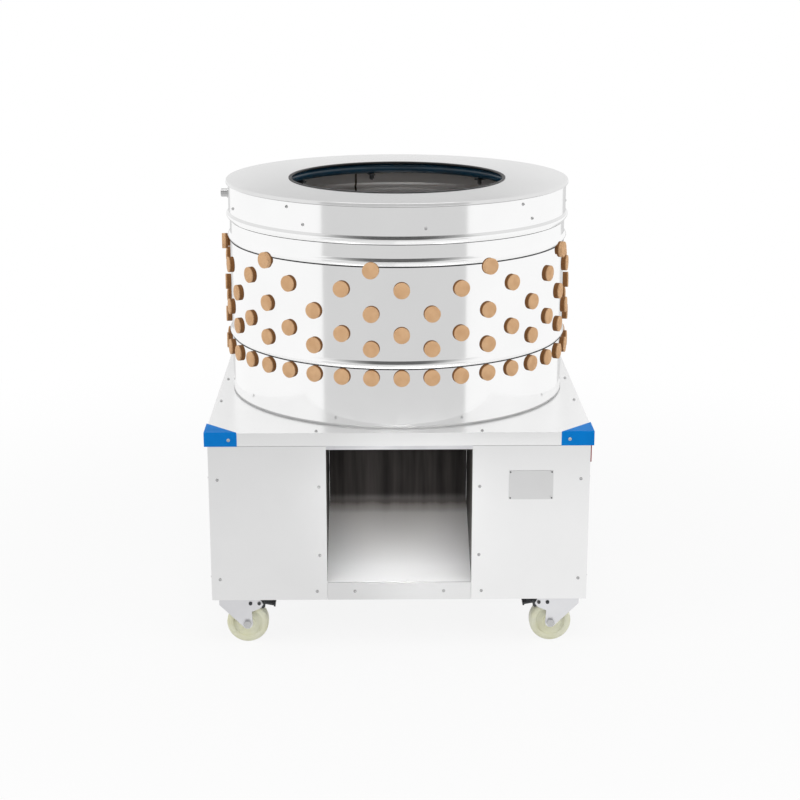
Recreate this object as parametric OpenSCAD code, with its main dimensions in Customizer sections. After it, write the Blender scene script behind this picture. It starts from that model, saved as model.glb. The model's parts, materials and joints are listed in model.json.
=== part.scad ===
// Drum poultry plucker on castors: a square sheet-steel base with a discharge chute, and a rubber-fingered
// drum with a spinning finger plate. Millimetres, +Z up, front towards -Y, origin on the floor under the
// drum's axis.

/* [Base] */
// Width and depth of the panelled base
base_w = 642; // [620:2:720]
// Height from the panels' bottom edge to the top of the deck
base_h = 300; // [290:1:340]
// Sheet thickness of the panels
panel_t = 1.5; // [1:0.25:2.5]
// Height that the panels hang below the castor pads
panel_drop = 15; // [8:1:20]
// Sheet thickness of the deck
deck_t = 1.5; // [1:0.25:2.5]
// How far the deck stands out past the panels on each side
deck_over = 3; // [2:0.5:6]
// Height of the deck's turned-down lip
deck_lip = 23; // [15:1:30]
// Leg width of the frame's steel angle
angle_w = 30; // [24:1:34]
// Thickness of the frame's steel angle
angle_t = 3; // [2:0.5:5]
// Leg length of a corner guard along each side
guard_leg = 55; // [40:1:80]
// Sheet thickness of a corner guard
guard_t = 2; // [1:0.5:3]

/* [Chute] */
// Clear width of the discharge opening
chute_w = 246; // [200:2:280]
// Height of the sill strip under the opening
sill_h = 31.5; // [26:0.5:40]
// Distance from the deck's top down to the opening's top edge
header_h = 31; // [26:1:40]
// Distance from the front face to the chute's back wall
chute_depth = 184; // [150:1:190]
// Rise of the chute's floor from the sill to the back wall
chute_rise = 79; // [40:1:120]
// Bend radius between the chute's floor and back wall
chute_bend = 30; // [10:1:40]
// Sheet thickness of the chute
chute_t = 1.5; // [1:0.25:2.5]
// Width of the flange that ties each cheek to its front panel
cheek_flange = 25; // [20:1:40]

/* [Drum] */
// Outside diameter of the drum
drum_d = 600; // [560:2:620]
// Sheet thickness of the drum
drum_t = 1.5; // [1:0.25:2]
// Height from the deck's top to the rim's top
drum_h = 381; // [370:1:440]
// Height of the lower bead's middle above the deck
low_bead_h = 110; // [100:0.5:125]
// Height of the upper bead's middle above the deck
high_bead_h = 283; // [270:1:295]
// Width of a rolled bead
bead_w = 14; // [8:1:16]
// How far a bead stands out
bead_out = 4; // [2:0.5:6]
// Diameter of the mouth in the rim
mouth_d = 380; // [340:2:390]
// Sheet thickness of the rim cover
rim_t = 1.5; // [1:0.25:2.5]
// Height of the rim cover's skirt
skirt_h = 68; // [60:1:80]
// How far the rim's folded lip stands out past the skirt
lip_out = 4; // [2:0.5:6]
// Height of the rim's folded lip
lip_h = 6; // [4:0.5:10]
// Thickness of the black edge trim on each face of the rim
trim_t = 1; // [0.75:0.25:3]
// How far the edge trim reaches over the rim
trim_grip = 4; // [3:0.5:10]
// Number of skirt screws round the rim
rim_screws_n = 9; // [6:1:12]
// Distance from the rim's top down to the skirt screws
rim_screw_drop = 42; // [36:0.5:44]

/* [Fingers] */
// Number of finger columns round the drum
finger_cols = 38; // [34:2:40]
// Diameter of a finger's head
head_d = 27.5; // [24:0.5:32]
// Thickness of a finger's head
head_t = 10.5; // [8:0.5:12]
// Diameter of a finger's hole
hole_d = 20; // [16:0.5:21]
// Diameter of a finger at its root
root_d = 23; // [22:0.5:24]
// Diameter of a finger at its tip
tip_d = 12; // [8:0.5:14]
// Length of a finger past the sheet
finger_len = 79; // [60:1:82]

/* [Turntable] */
// Gap between the turntable's edge and the drum wall
plate_gap = 15.5; // [12:0.5:24]
// Thickness of the turntable
plate_t = 3; // [2:0.5:5]
// Height of the turntable's underside above the deck
plate_lift = 16; // [15:0.5:20]
// Thickness of a sweeper blade
sweeper_t = 6; // [3:0.5:10]
// Running gap between the sweepers and the deck
sweeper_gap = 2.5; // [2:0.5:4]
// Diameter of the hub's flange
hub_d = 110; // [90:1:118]

/* [Drive] */
// Diameter of the main shaft
shaft_d = 30; // [24:1:34]
// Outside diameter of the shaft's bearings
bearing_d = 62; // [52:1:68]
// Width of one bearing
bearing_w = 16; // [12:1:20]
// Length of the bearing housing
housing_l = 147; // [120:1:160]
// Wall of the bearing housing
housing_wall = 7; // [5:0.5:8]
// Outside diameter of the driven pulley
driven_d = 240; // [200:1:246]
// Outside diameter of the drive pulley
drive_d = 60; // [50:1:80]
// Face width of the pulleys
pulley_w = 20; // [16:1:24]
// Gap between the motor's terminal box and the frame's rear face
motor_clear = 21.5; // [18:0.5:31]
// Height of the belt's middle above the panels' bottom edge
belt_h = 41; // [30:1:46]
// Width of the belt
belt_w = 11; // [8:0.5:12]
// Thickness of the belt
belt_t = 8; // [6:0.5:10]
// Outside diameter of the motor
motor_d = 144; // [120:1:150]
// Height of the motor between its flange and its fan cowl
motor_h = 130; // [110:1:140]
// Diameter of the motor's shaft
motor_shaft_d = 24; // [19:1:28]
// Thickness of the motor cradle's sheet
cradle_t = 4; // [3:0.5:6]
// Size of the square tube that carries the bearing housing
beam_w = 30; // [25:1:34]

/* [Castors] */
// Diameter of a castor wheel
wheel_d = 72; // [66:1:90]
// Width of a castor wheel's tread
wheel_w = 26; // [22:1:30]
// Trail from the swivel axis to the axle
trail = 20; // [17:1:24]
// Gap between a castor's plate and the frame
castor_gap = 0.5; // [0.5:0.5:12]
// Side of a castor's square mounting plate
plate_side = 66; // [64:1:68]
// Spacing of a castor's bolts
bolt_pitch = 48; // [46:0.5:50]
// Thickness of a fork's sheet
fork_t = 3; // [2:0.5:4]
// Diameter of a castor's axle bolt
axle_d = 8; // [6:0.5:10]
// Length of a brake pedal past its pivot
pedal_l = 28; // [20:1:34]

/* [Fittings] */
// Diameter of a sheet screw's head
screw_d = 7.5; // [6:0.5:9]
// Distance from a panel's edge to its screws
screw_inset = 15; // [10:0.5:20]
// Outside diameter of the spray ring's tube
spray_d = 18; // [12:1:20]
// Outside diameter of the water spigot
spigot_d = 15; // [12:0.5:18]
// Length of the water spigot past its collar
spigot_l = 12; // [8:1:20]
// Width of the nameplate
nameplate_w = 75; // [50:1:90]
// Height of the nameplate
nameplate_h = 51; // [30:1:60]
// Side of the switch's square bezel
switch_side = 56; // [50:1:60]
// How far the switch's bezel stands out
bezel_t = 8; // [5:0.5:9]
// Travel of a switch button
button_travel = 3; // [2:0.5:4]
// Diameter of the cable gland's bore
gland_bore = 11; // [8:0.5:12]

/* [Hidden] */
$fn = 72;

// Overcut of a hole past the faces that it goes through
cut = 1;
// Clearance between sheet pieces that sit side by side
fit = 0.3;
// Radial clearance of a turning fit
run = 0.05;

// Castor stack, from the floor up
wheel_r = wheel_d / 2;
crown_gap = 18.5;
race_h = 2.7;
swivel_gap = 0.3;
upper_race_h = 4;
mount_t = 3;
crown_z = wheel_d + crown_gap;
race_z = crown_z + fork_t;
upper_race_z = race_z + race_h + swivel_gap;
mount_z = upper_race_z + upper_race_h;
castor_h = mount_z + mount_t;
pad_t = 4;
pad_side = plate_side + 14;

// Levels of the base
base_z = castor_h - panel_drop;
sill_z = base_z + sill_h;
deck_z = base_z + base_h;
deck_under = deck_z - deck_t;
header_z = deck_z - header_h;
face = base_w / 2;
frame_o = face - panel_t;
frame_i = frame_o - angle_t;
rail_in = angle_w - 5;
deck_r = face + deck_over;
castor_xy = frame_i - castor_gap - plate_side / 2;
panel_top = deck_under - fit;
beam_top = deck_under - angle_t;
beam_z = beam_top - beam_w;

// Chute outline
wall_y = chute_depth - face;
chute_slope = atan2(chute_rise, chute_depth - panel_t);
bend_steps = 12;
sheet_gap = chute_t * cos(chute_slope);
bend_y = wall_y - chute_bend;
bend_z = sill_z + sheet_gap + (bend_y + frame_o) * tan(chute_slope) + chute_bend / cos(chute_slope);

// Drum
drum_r = drum_d / 2;
drum_in = drum_r - drum_t;
rim_z = deck_z + drum_h;
mouth_r = mouth_d / 2;
skirt_r = drum_r + fit;
skirt_z = rim_z - skirt_h;
skirt_bead_z = skirt_z + bead_w / 2;
skirt_out = skirt_r + rim_t;
lip_r = skirt_out + lip_out;
drum_top_gap = 4;
drum_top = rim_z - rim_t - drum_top_gap;
bead_steps = 8;

// Finger rows on the drum, clear of the lower bead: height above the deck, first column and stride
row_under_bead = 0.75;
row_over_bead = 7.25;
third_row_rise = 24;
fourth_row_rise = 59;
fifth_row_rise = 99.5;
top_row_drop = 12;
first_row_h = low_bead_h - (bead_w + head_d) / 2 - row_under_bead;
second_row_h = low_bead_h + (bead_w + head_d) / 2 + row_over_bead;
finger_rows = [
    [first_row_h, 0, 1], [second_row_h, 1, 2], [second_row_h + third_row_rise, 0, 2],
    [second_row_h + fourth_row_rise, 1, 2], [second_row_h + fifth_row_rise, 0, 2],
    [high_bead_h - top_row_drop, -17, 4]
];
top_row = len(finger_rows) - 1;
// The top row's heads stand off the wall, because they lap the upper bead
top_stand = bead_out + fit;
finger_phase = 0.8;
column_step = 360 / finger_cols;
// Length of the cuts that drill the drum's wall and the rim's skirt
wall_drill = 30;
neck_gap = 0.4;
seat_gap = 0.35;

// Fingers in each ring on the turntable; the rings run from the hub out to the drum fingers' tips
ring_counts = [6, 9, 12, 15];
tip_clear = 19;
inner_ring = hub_d / 2 + 20;
outer_ring = drum_in - seat_gap - finger_len - tip_clear;
ring_step = (outer_ring - inner_ring) / (len(ring_counts) - 1);
sweepers_n = 3;
sweeper_start = hub_d / 2 + 7;
sweeper_end = 4;
plate_z = deck_z + plate_lift;
plate_top = plate_z + plate_t;
plate_r = drum_in - plate_gap;

// Shaft, bearings and pulleys
shaft_r = shaft_d / 2;
bearing_r = bearing_d / 2;
housing_r = bearing_r + housing_wall;
collar_h = 7;
housing_top = deck_z + collar_h;
housing_z = housing_top - housing_l;
seal_h = 7;
flange_t = 10;
flange_half_x = 60;
flange_bolt_x = flange_half_x - 14;
beam_clear = 7;
beam_y = housing_r + beam_w / 2 + beam_clear;
flange_half_y = beam_y + beam_w / 2;
hub_gap = 2;
hub_z = housing_top + hub_gap;
belt_z = base_z + belt_h;
shaft_end = 8;
shaft_z = belt_z - pulley_w / 2 - shaft_end;
thread_d = shaft_d - 6;
washer_t = 4;
nut_h = 20;
nut_cap = 4;
nut_r = thread_d * 0.8;
groove_side = 0.4;
groove_deep = 1;
belt_proud = 1;
belt_steps = 48;
driven_r = driven_d / 2;
drive_r = drive_d / 2;
web_t = 6;
rim_wall = 6;
boss_r = shaft_r + 14;

// Motor
motor_r = motor_d / 2;
term_w = 60;
term_d = 26;
term_h = 70;
term_drop = 20;
// The motor stands as far back as its terminal box lets it
belt_span = frame_o - motor_clear - term_d - motor_r;
motor_shaft_r = motor_shaft_d / 2;
cradle_clear = 16;
cradle_z = belt_z + pulley_w / 2 + cradle_clear;
cradle_top = cradle_z + cradle_t;
motor_flange_t = 10;
motor_bolt_r = motor_r + 10;
motor_flange_r = motor_bolt_r + 9;
motor_z = cradle_top + motor_flange_t;
motor_top = motor_z + motor_h;
cowl_h = 42;
cowl_t = 1.5;
fins_n = 24;
fin_h = 4;
fin_r = motor_r - 1;
end_ring = 12;
cradle_half = motor_flange_r + 8;
rear_beam_y = belt_span + motor_flange_r - 10;
rotor_depth = 60;
rotor_gap = 4;
bolt_r = 4;
bolt_head = 6;
nut_t = 6.5;

// Screws
shank_r = 2;
screw_hole = shank_r + 0.2;
screw_head = 2.2;
low_row_h = 38;
high_row_drop = 83;
low_row = base_z + low_row_h;
high_row = deck_z - high_row_drop;
outer_col = face - screw_inset;
inner_col = chute_w / 2 + cheek_flange / 2;
inner_low = sill_z + 50;
inner_high = header_z - 65;
foot_row = base_z + sill_h / 2;
foot_col = inner_col + 5;
sill_col = chute_w / 2 - 47;
front_screws = [
    for (s = [-1, 1]) each [
        [s * outer_col, low_row], [s * outer_col, high_row],
        [s * inner_col, inner_low], [s * inner_col, inner_high], [s * foot_col, foot_row]
    ]
];
sill_screws = [[-sill_col, foot_row], [sill_col, foot_row]];
side_screws = [for (s = [-1, 1], z = [low_row, high_row]) [s * outer_col, z]];
deck_screw_in = 10;
deck_edge = deck_r - deck_screw_in;
deck_side_ys = [-126, 24, 174];
deck_end_x = 139;
deck_screws = concat(
    [for (s = [-1, 1], y = deck_side_ys) [s * deck_edge, y]],
    [for (s = [-1, 1], x = [-deck_end_x, deck_end_x]) [x, s * deck_edge]]
);
guard_out = deck_r + guard_t;
guard_screw_in = 14;
guard_screw = guard_out - guard_leg + guard_screw_in;
guard_screw_z = deck_z - deck_lip / 2;

// Rim screws and spray ring
rim_screw_z = rim_z - rim_screw_drop;
rim_screw_phase = 8.3;
spray_r = spray_d / 2;
spray_hang = 2.5;
spray_z = rim_z - rim_t - spray_hang - spray_r;
spray_inset = 5;
spray_ring_r = mouth_r + spray_r + spray_inset;
clip_angles = [43.6, 130, 193, 240, 322];
clip_t = 3;
clip_w = 10;
clip_top = spray_z - spray_r - fit;
clip_bolt_drop = 5.5;
clip_bolt_z = rim_z - lip_h - screw_d / 2 - clip_bolt_drop;
clip_edge = 5;
clip_tab = clip_bolt_z + clip_edge - clip_top;
inlet_angle = -97;
inlet_drop = 34;
inlet_z = rim_z - inlet_drop;
spigot_r = spigot_d / 2;
spigot_wall = 2.5;
collar_r = spigot_r + 2.5;
collar_l = 6.5;
inlet_nut_l = 6;

// Nameplate, switch and gland
nameplate_x = (face + chute_w / 2) / 2;
nameplate_drop = 93.5;
nameplate_z = deck_z - nameplate_drop;
nameplate_t = 1;
rivet_r = 1.6;
rivet_inset = 4;
switch_inset = 96;
switch_drop = 31;
bezel_lap = 5;
switch_y = switch_inset - face;
switch_z = header_z - switch_drop;
switch_in = switch_side - 2 * bezel_lap;
switch_deep = 38;
button_gap = 0.4;
button_w = switch_in / 2 - 5;
button_h = switch_in - 14;
button_out = 4;
button_l = bezel_t + button_out;
gland_inset = 101;
gland_x = face - gland_inset;
gland_h = 61;
gland_z = base_z + gland_h;
gland_thread_r = gland_bore / 2 + 3.3;
gland_hex_r = gland_thread_r + 4;
gland_out = 10;
gland_nut_t = 5;
gland_thread_end = 2;

// Castor fork and brake
fork_gap = 1.5;
hub_side = fork_gap - fit;
leg_y = wheel_w / 2 + fork_gap;
axle_r = axle_d / 2;
king_r = 6;
king_head_r = 9;
king_head_h = 3.5;
race_r = 23;
leg_half = 28;
leg_shoulder = 22;
eye_r = 9;
pivot_r = 3;
pivot_boss = 5;
shoe_gap = 2.3;
pivot_lean = 61;
pivot_reach = wheel_r + shoe_gap + pivot_boss + run;
pivot_x = trail + pivot_reach * cos(pivot_lean);
pivot_z = wheel_r + pivot_reach * sin(pivot_lean);
// The brake's cheeks pass under the panels' bottom edge as the castor turns
panel_clear = 1.5;
cheek_top = base_z - panel_clear;
cheek_edge = 9;
pedal_t = 3;
pedal_half = wheel_w / 2 + 3;
steel = "#c9ced2";
zinc = "#b4b9be";
rubber = "#cf9c6c";

// Points of a bead's bulge, from its lower edge to its upper edge, on a wall of radius r
function bead(r, z) = [
    for (i = [0 : bead_steps])
        let (a = -90 + 180 * i / bead_steps) [r + bead_out * cos(a), z + bead_w / 2 * sin(a)]
];

// A wall section: its outer points going up, then its inner points coming down
function wall_section(outer, t) = concat(outer, [for (i = [len(outer) - 1 : -1 : 0]) outer[i] - [t, 0]]);

// Four copies mirrored to the corners, drawn once for the corner at +X, +Y
module at_corners() {
    for (mx = [0, 1], my = [0, 1])
        mirror([mx, 0, 0]) mirror([0, my, 0]) children();
}

// Children turned so that their +Z points outwards from the drum's axis at an angle from the front
module radial(angle, radius, z) {
    rotate([0, 0, angle - 90]) translate([radius, 0, z]) rotate([0, 90, 0]) children();
}

// Children with their +Z pointing out of the front, the back, the right or the left of the base
module facing_front() { rotate([90, 0, 0]) children(); }
module facing_back() { rotate([-90, 0, 0]) children(); }
module facing_right() { rotate([0, 90, 0]) children(); }
module facing_left() { rotate([0, -90, 0]) children(); }

// An outline in the (Y, Z) plane drawn out along X, centred
module along_x(length) {
    rotate([90, 0, 90]) linear_extrude(length, center = true) children();
}

module ring(r_in, r_out, z0, z1) {
    rotate_extrude() translate([r_in, z0]) square([r_out - r_in, z1 - z0]);
}

module drill(r, length) {
    cylinder(r = r, h = length, center = true);
}

// A pan-head screw: its head stands on z = 0, its shank goes down into the sheet
module screw(shank) {
    rotate_extrude() polygon([
        [0, -shank], [shank_r, -shank], [shank_r, 0], [screw_d / 2, 0], [screw_d / 2, screw_head / 2],
        [screw_d / 3, screw_head], [0, screw_head]
    ]);
}

// A hexagon bolt: its head hangs below z = 0, its shank goes up
module hex_bolt(r, head, length) {
    translate([0, 0, -head]) cylinder(r = r * 1.8, h = head, $fn = 6);
    cylinder(r = r, h = length);
}

module hex_nut(r, height) {
    difference() {
        cylinder(r = r * 1.8, h = height, $fn = 6);
        translate([0, 0, height / 2]) drill(r + run, height + 2 * cut);
    }
}

// Frame

module corner_posts() {
    color(zinc) at_corners() translate([0, 0, base_z + angle_t]) linear_extrude(deck_under - base_z - angle_t)
        polygon([
            [frame_o - angle_w, frame_o], [frame_o, frame_o], [frame_o, frame_o - angle_w],
            [frame_i, frame_o - angle_w], [frame_i, frame_i], [frame_o - angle_w, frame_i]
        ]);
}

module frame_rails() {
    rail_l = 2 * (frame_o - angle_w);
    // The lower rails' ledge stops short of the castor pads and their nuts
    ledge_l = 2 * (frame_i - pad_side - cut);
    color(zinc) for (a = [0, 90, 180, 270]) rotate(a) {
        along_x(rail_l) polygon([
            [-frame_o, header_z], [-frame_i, header_z], [-frame_i, beam_top],
            [rail_in - frame_o, beam_top], [rail_in - frame_o, deck_under], [-frame_o, deck_under]
        ]);
        along_x(rail_l) polygon([
            [-frame_o, base_z + angle_t], [-frame_i, base_z + angle_t], [-frame_i, sill_z], [-frame_o, sill_z]
        ]);
        along_x(ledge_l) translate([-frame_o, sill_z - angle_t]) square([rail_in, angle_t]);
    }
}

module castor_holes(z, t) {
    for (x = [-1, 1], y = [-1, 1])
        translate([castor_xy + x * bolt_pitch / 2, castor_xy + y * bolt_pitch / 2, z + t / 2])
            drill(bolt_r + fit, t + 2 * cut);
}

module castor_pads() {
    color(zinc) at_corners() difference() {
        translate([frame_i - pad_side, frame_i - pad_side, castor_h]) cube([pad_side, pad_side, pad_t]);
        castor_holes(castor_h, pad_t);
    }
}

// Panels

module front_holes(points) {
    for (p = points) translate([p[0], -face, p[1]]) facing_front() drill(screw_hole, 2 * panel_t + 2 * cut);
}

module front_left_panel() {
    color(steel) difference() {
        translate([-face, -face, base_z]) cube([face - chute_w / 2, panel_t, panel_top - base_z]);
        front_holes(front_screws);
    }
}

module front_right_panel() {
    color(steel) difference() {
        translate([chute_w / 2, -face, base_z]) cube([face - chute_w / 2, panel_t, panel_top - base_z]);
        front_holes(front_screws);
        nameplate_rivets(2 * panel_t, rivet_r + run);
    }
}

module side_sheet() {
    half = frame_o - fit;
    difference() {
        translate([frame_o, -half, base_z]) cube([panel_t, 2 * half, panel_top - base_z]);
        for (p = side_screws)
            translate([face, p[0], p[1]]) facing_right() drill(screw_hole, 2 * panel_t + 2 * cut);
    }
}

module left_side_panel() {
    color(steel) mirror([1, 0, 0]) side_sheet();
}

module right_side_panel() {
    color(steel) difference() {
        side_sheet();
        translate([frame_o - cut, switch_y - switch_in / 2 - fit, switch_z - switch_in / 2 - fit])
            cube([panel_t + 2 * cut, switch_in + 2 * fit, switch_in + 2 * fit]);
    }
}

module rear_panel() {
    color(steel) difference() {
        translate([-face, frame_o, base_z]) cube([base_w, panel_t, panel_top - base_z]);
        for (p = side_screws)
            translate([p[0], face, p[1]]) facing_back() drill(screw_hole, 2 * panel_t + 2 * cut);
        translate([gland_x, face, gland_z]) facing_back()
            drill(gland_thread_r + fit, 2 * panel_t + 2 * cut);
    }
}

// Chute

module chute_sill() {
    color(steel) difference() {
        translate([fit - chute_w / 2, -face, base_z]) cube([chute_w - 2 * fit, panel_t, sill_h]);
        front_holes(sill_screws);
    }
}

function bend_arc(r) = [
    for (i = [0 : bend_steps])
        let (a = (chute_slope - 90) * (1 - i / bend_steps)) [bend_y + r * cos(a), bend_z + r * sin(a)]
];

module chute_scoop() {
    outer = bend_arc(chute_bend + chute_t);
    color(steel) along_x(chute_w - 2 * fit) polygon(concat(
        [[-frame_o, sill_z + sheet_gap]], bend_arc(chute_bend),
        [[wall_y, deck_under], [wall_y + chute_t, deck_under]],
        [for (i = [bend_steps : -1 : 0]) outer[i]], [[chute_t * sin(chute_slope) - frame_o, sill_z]]
    ));
}

module chute_cheeks() {
    floor_end = sill_z + (wall_y + frame_o) * tan(chute_slope);
    color(steel) for (mx = [0, 1]) mirror([mx, 0, 0]) {
        translate([(chute_w + chute_t) / 2, 0, 0]) along_x(chute_t) polygon([
            [-frame_o, sill_z], [wall_y + chute_t, floor_end], [wall_y + chute_t, deck_under],
            [rail_in - frame_o + fit, deck_under], [rail_in - frame_o + fit, header_z], [-frame_o, header_z]
        ]);
        translate([chute_w / 2, -frame_o, sill_z]) cube([cheek_flange, chute_t, header_z - sill_z]);
    }
}

// Deck and guards

module deck() {
    inner = deck_r - deck_t;
    outlet_edge = 6;
    outlet_r = drum_in - 14;
    outlet_back = wall_y - outlet_edge;
    color(steel) difference() {
        translate([-deck_r, -deck_r, deck_z - deck_lip]) cube([2 * deck_r, 2 * deck_r, deck_lip]);
        translate([-inner, -inner, deck_z - deck_lip - cut])
            cube([2 * inner, 2 * inner, deck_lip - deck_t + cut]);
        translate([0, 0, deck_under]) drill(housing_r + fit, 4 * deck_t + 2 * cut);
        intersection() {
            translate([outlet_edge - chute_w / 2, -drum_r, deck_under - cut])
                cube([chute_w - 2 * outlet_edge, outlet_back + drum_r, deck_t + 2 * cut]);
            translate([0, 0, deck_under]) drill(outlet_r, 4 * deck_t + 4 * cut);
        }
        for (p = deck_screws) translate([p[0], p[1], deck_under]) drill(screw_hole, 4 * deck_t + 2 * cut);
    }
}

module corner_guards() {
    lip_z = deck_z - deck_lip;
    color("#0f72c4") at_corners() difference() {
        union() {
            translate([deck_r, guard_out - guard_leg, lip_z]) cube([guard_t, guard_leg, deck_lip]);
            translate([guard_out - guard_leg, deck_r, lip_z]) cube([guard_leg, guard_t, deck_lip]);
            translate([0, 0, deck_z]) linear_extrude(guard_t) polygon([
                [guard_out, guard_out - guard_leg], [guard_out, guard_out], [guard_out - guard_leg, guard_out]
            ]);
        }
        hole_l = 2 * guard_t + cut;
        translate([guard_out, guard_screw, guard_screw_z]) facing_right() drill(screw_hole, hole_l);
        translate([guard_screw, guard_out, guard_screw_z]) facing_back() drill(screw_hole, hole_l);
    }
}

module base_screws() {
    color(zinc) {
        for (p = concat(front_screws, sill_screws))
            translate([p[0], -face, p[1]]) facing_front() screw(panel_t);
        for (p = side_screws) {
            translate([face, p[0], p[1]]) facing_right() screw(panel_t);
            translate([-face, p[0], p[1]]) facing_left() screw(panel_t);
            translate([p[0], face, p[1]]) facing_back() screw(panel_t);
        }
        for (p = deck_screws) translate([p[0], p[1], deck_z]) screw(deck_t);
        at_corners() {
            translate([guard_out, guard_screw, guard_screw_z]) facing_right() screw(guard_t);
            translate([guard_screw, guard_out, guard_screw_z]) facing_back() screw(guard_t);
        }
    }
}

module nameplate_rivets(length, r) {
    for (x = [-1, 1], z = [-1, 1])
        translate([
            nameplate_x + x * (nameplate_w / 2 - rivet_inset), -face,
            nameplate_z + z * (nameplate_h / 2 - rivet_inset)
        ]) facing_front() drill(r, 2 * length);
}

module nameplate() {
    color("#d8dadd") {
        difference() {
            translate([nameplate_x - nameplate_w / 2, -face - nameplate_t, nameplate_z - nameplate_h / 2])
                cube([nameplate_w, nameplate_t, nameplate_h]);
            nameplate_rivets(nameplate_t + cut, rivet_r + run);
        }
        nameplate_rivets(panel_t, rivet_r);
    }
}

// Drum

// Children at every finger of the rows from first to last, with +Z pointing out of the drum's wall
module at_drum_fingers(first, last) {
    for (k = [first : last]) {
        row = finger_rows[k];
        for (i = [0 : floor(finger_cols / row[2]) - 1])
            radial(finger_phase + (row[1] + i * row[2]) * column_step, drum_r, deck_z + row[0]) children();
    }
}

// Children at every upright finger, with +Z pointing down from the turntable's underside
module at_plate_fingers() {
    for (k = [0 : len(ring_counts) - 1], i = [0 : ring_counts[k] - 1])
        rotate((i + 0.5) * 360 / ring_counts[k]) translate([inner_ring + k * ring_step, 0, plate_z])
            rotate([180, 0, 0]) children();
}

// A plucking finger through a sheet of thickness t whose outer face is z = 0: its head stands out along +Z
module finger(t, stand) {
    neck_r = hole_d / 2 - neck_gap;
    seat = -t - seat_gap;
    tip = seat - finger_len;
    edge = 1;
    tip_r = tip_d / 2;
    rotate_extrude() polygon(concat(
        [[0, stand + head_t], [0, tip]],
        [for (a = [-60, -30, 0]) [tip_r * cos(a), tip + tip_r * (1 + sin(a))]],
        [
            [root_d / 2, seat - 8], [root_d / 2, seat], [neck_r, seat], [neck_r, stand], [head_d / 2, stand],
            [head_d / 2, stand + head_t - edge], [head_d / 2 - edge, stand + head_t]
        ]
    ));
}

module rim_screw_holes() {
    for (i = [0 : rim_screws_n - 1])
        radial(rim_screw_phase + i * 360 / rim_screws_n, drum_r, rim_screw_z) drill(screw_hole, wall_drill);
    for (a = clip_angles) radial(a, drum_r, clip_bolt_z) drill(screw_hole, wall_drill);
    radial(inlet_angle, drum_r, inlet_z) drill(spigot_r + fit, wall_drill);
}

module drum_shell() {
    outer = concat(
        [[drum_r, deck_z]], bead(drum_r, deck_z + low_bead_h), bead(drum_r, deck_z + high_bead_h),
        [[drum_r, drum_top]]
    );
    color(steel) difference() {
        rotate_extrude() polygon(wall_section(outer, drum_t));
        at_drum_fingers(0, top_row) drill(hole_d / 2, wall_drill);
        rim_screw_holes();
    }
}

module lower_fingers() {
    color(rubber) at_drum_fingers(0, 0) finger(drum_t, 0);
}

module middle_fingers() {
    color(rubber) at_drum_fingers(1, 2) finger(drum_t, 0);
}

module upper_fingers() {
    color(rubber) {
        at_drum_fingers(3, top_row - 1) finger(drum_t, 0);
        at_drum_fingers(top_row, top_row) finger(drum_t, top_stand);
    }
}

module rim_cover() {
    bulge = bead(skirt_out, skirt_bead_z);
    lip_edge = 1;
    color(steel) difference() {
        rotate_extrude() polygon(concat(
            bulge,
            [
                [skirt_out, rim_z - lip_h], [lip_r - lip_edge, rim_z - lip_h],
                [lip_r, rim_z - lip_h + lip_edge], [lip_r, rim_z - lip_edge], [lip_r - lip_edge, rim_z],
                [mouth_r, rim_z], [mouth_r, rim_z - rim_t], [skirt_r, rim_z - rim_t]
            ],
            [for (i = [bead_steps : -1 : 0]) bulge[i] - [rim_t, 0]]
        ));
        rim_screw_holes();
    }
}

module rim_trim() {
    slot = 0.1;
    nose = 2;
    color("#1c1c1e") rotate_extrude() difference() {
        translate([mouth_r - nose, rim_z - rim_t - trim_t]) square([nose + trim_grip, rim_t + 2 * trim_t]);
        translate([mouth_r - slot, rim_z - rim_t - slot]) square([trim_grip + slot + cut, rim_t + 2 * slot]);
    }
}

module rim_screws() {
    clip_bolt_l = skirt_out - drum_in + fit + clip_t;
    color(zinc) {
        for (i = [0 : rim_screws_n - 1])
            radial(rim_screw_phase + i * 360 / rim_screws_n, skirt_out, rim_screw_z)
                screw(skirt_out - drum_in);
        for (a = clip_angles) radial(a, skirt_out, clip_bolt_z) screw(clip_bolt_l);
    }
}

module drum_seat_clip() {
    wall = drum_in - fit;
    rotate([0, 0, -90]) difference() {
        union() {
            translate([spray_ring_r - spray_r, -clip_w / 2, clip_top - clip_t])
                cube([wall - spray_ring_r + spray_r, clip_w, clip_t]);
            translate([wall - clip_t, -clip_w / 2, clip_top]) cube([clip_t, clip_w, clip_tab]);
        }
        translate([wall, 0, clip_bolt_z]) rotate([0, 90, 0]) drill(screw_hole, 4 * clip_t);
    }
}

module spray_ring() {
    color("#0b2a45") rotate_extrude() translate([spray_ring_r, spray_z]) circle(spray_r);
}

module spray_clips() {
    color("#3a3f45") for (a = clip_angles) rotate([0, 0, a]) drum_seat_clip();
}

module water_inlet() {
    collar_z = skirt_out - drum_r + fit;
    spout_z = collar_z + collar_l + spigot_l;
    riser_z = spray_ring_r - drum_r;
    riser_h = spray_z - spray_r - inlet_z - fit;
    color(zinc) radial(inlet_angle, drum_r, inlet_z) difference() {
        union() {
            translate([0, 0, riser_z - spigot_r]) cylinder(r = spigot_r, h = spout_z - riser_z + spigot_r);
            translate([0, 0, collar_z]) cylinder(r = collar_r, h = collar_l);
            translate([0, 0, -drum_t - seat_gap - inlet_nut_l]) cylinder(r = collar_r + 1, h = inlet_nut_l);
            translate([0, 0, riser_z]) rotate([0, -90, 0]) cylinder(r = spigot_r - 1, h = riser_h);
        }
        translate([0, 0, riser_z]) cylinder(r = spigot_r - spigot_wall, h = spout_z - riser_z + cut);
    }
}

// Bearings and drive

module beam_bolts(r, z0, z1) {
    for (x = [-1, 1], y = [-1, 1])
        translate([x * flange_bolt_x, y * beam_y, (z0 + z1) / 2]) drill(r, z1 - z0);
}

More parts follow.
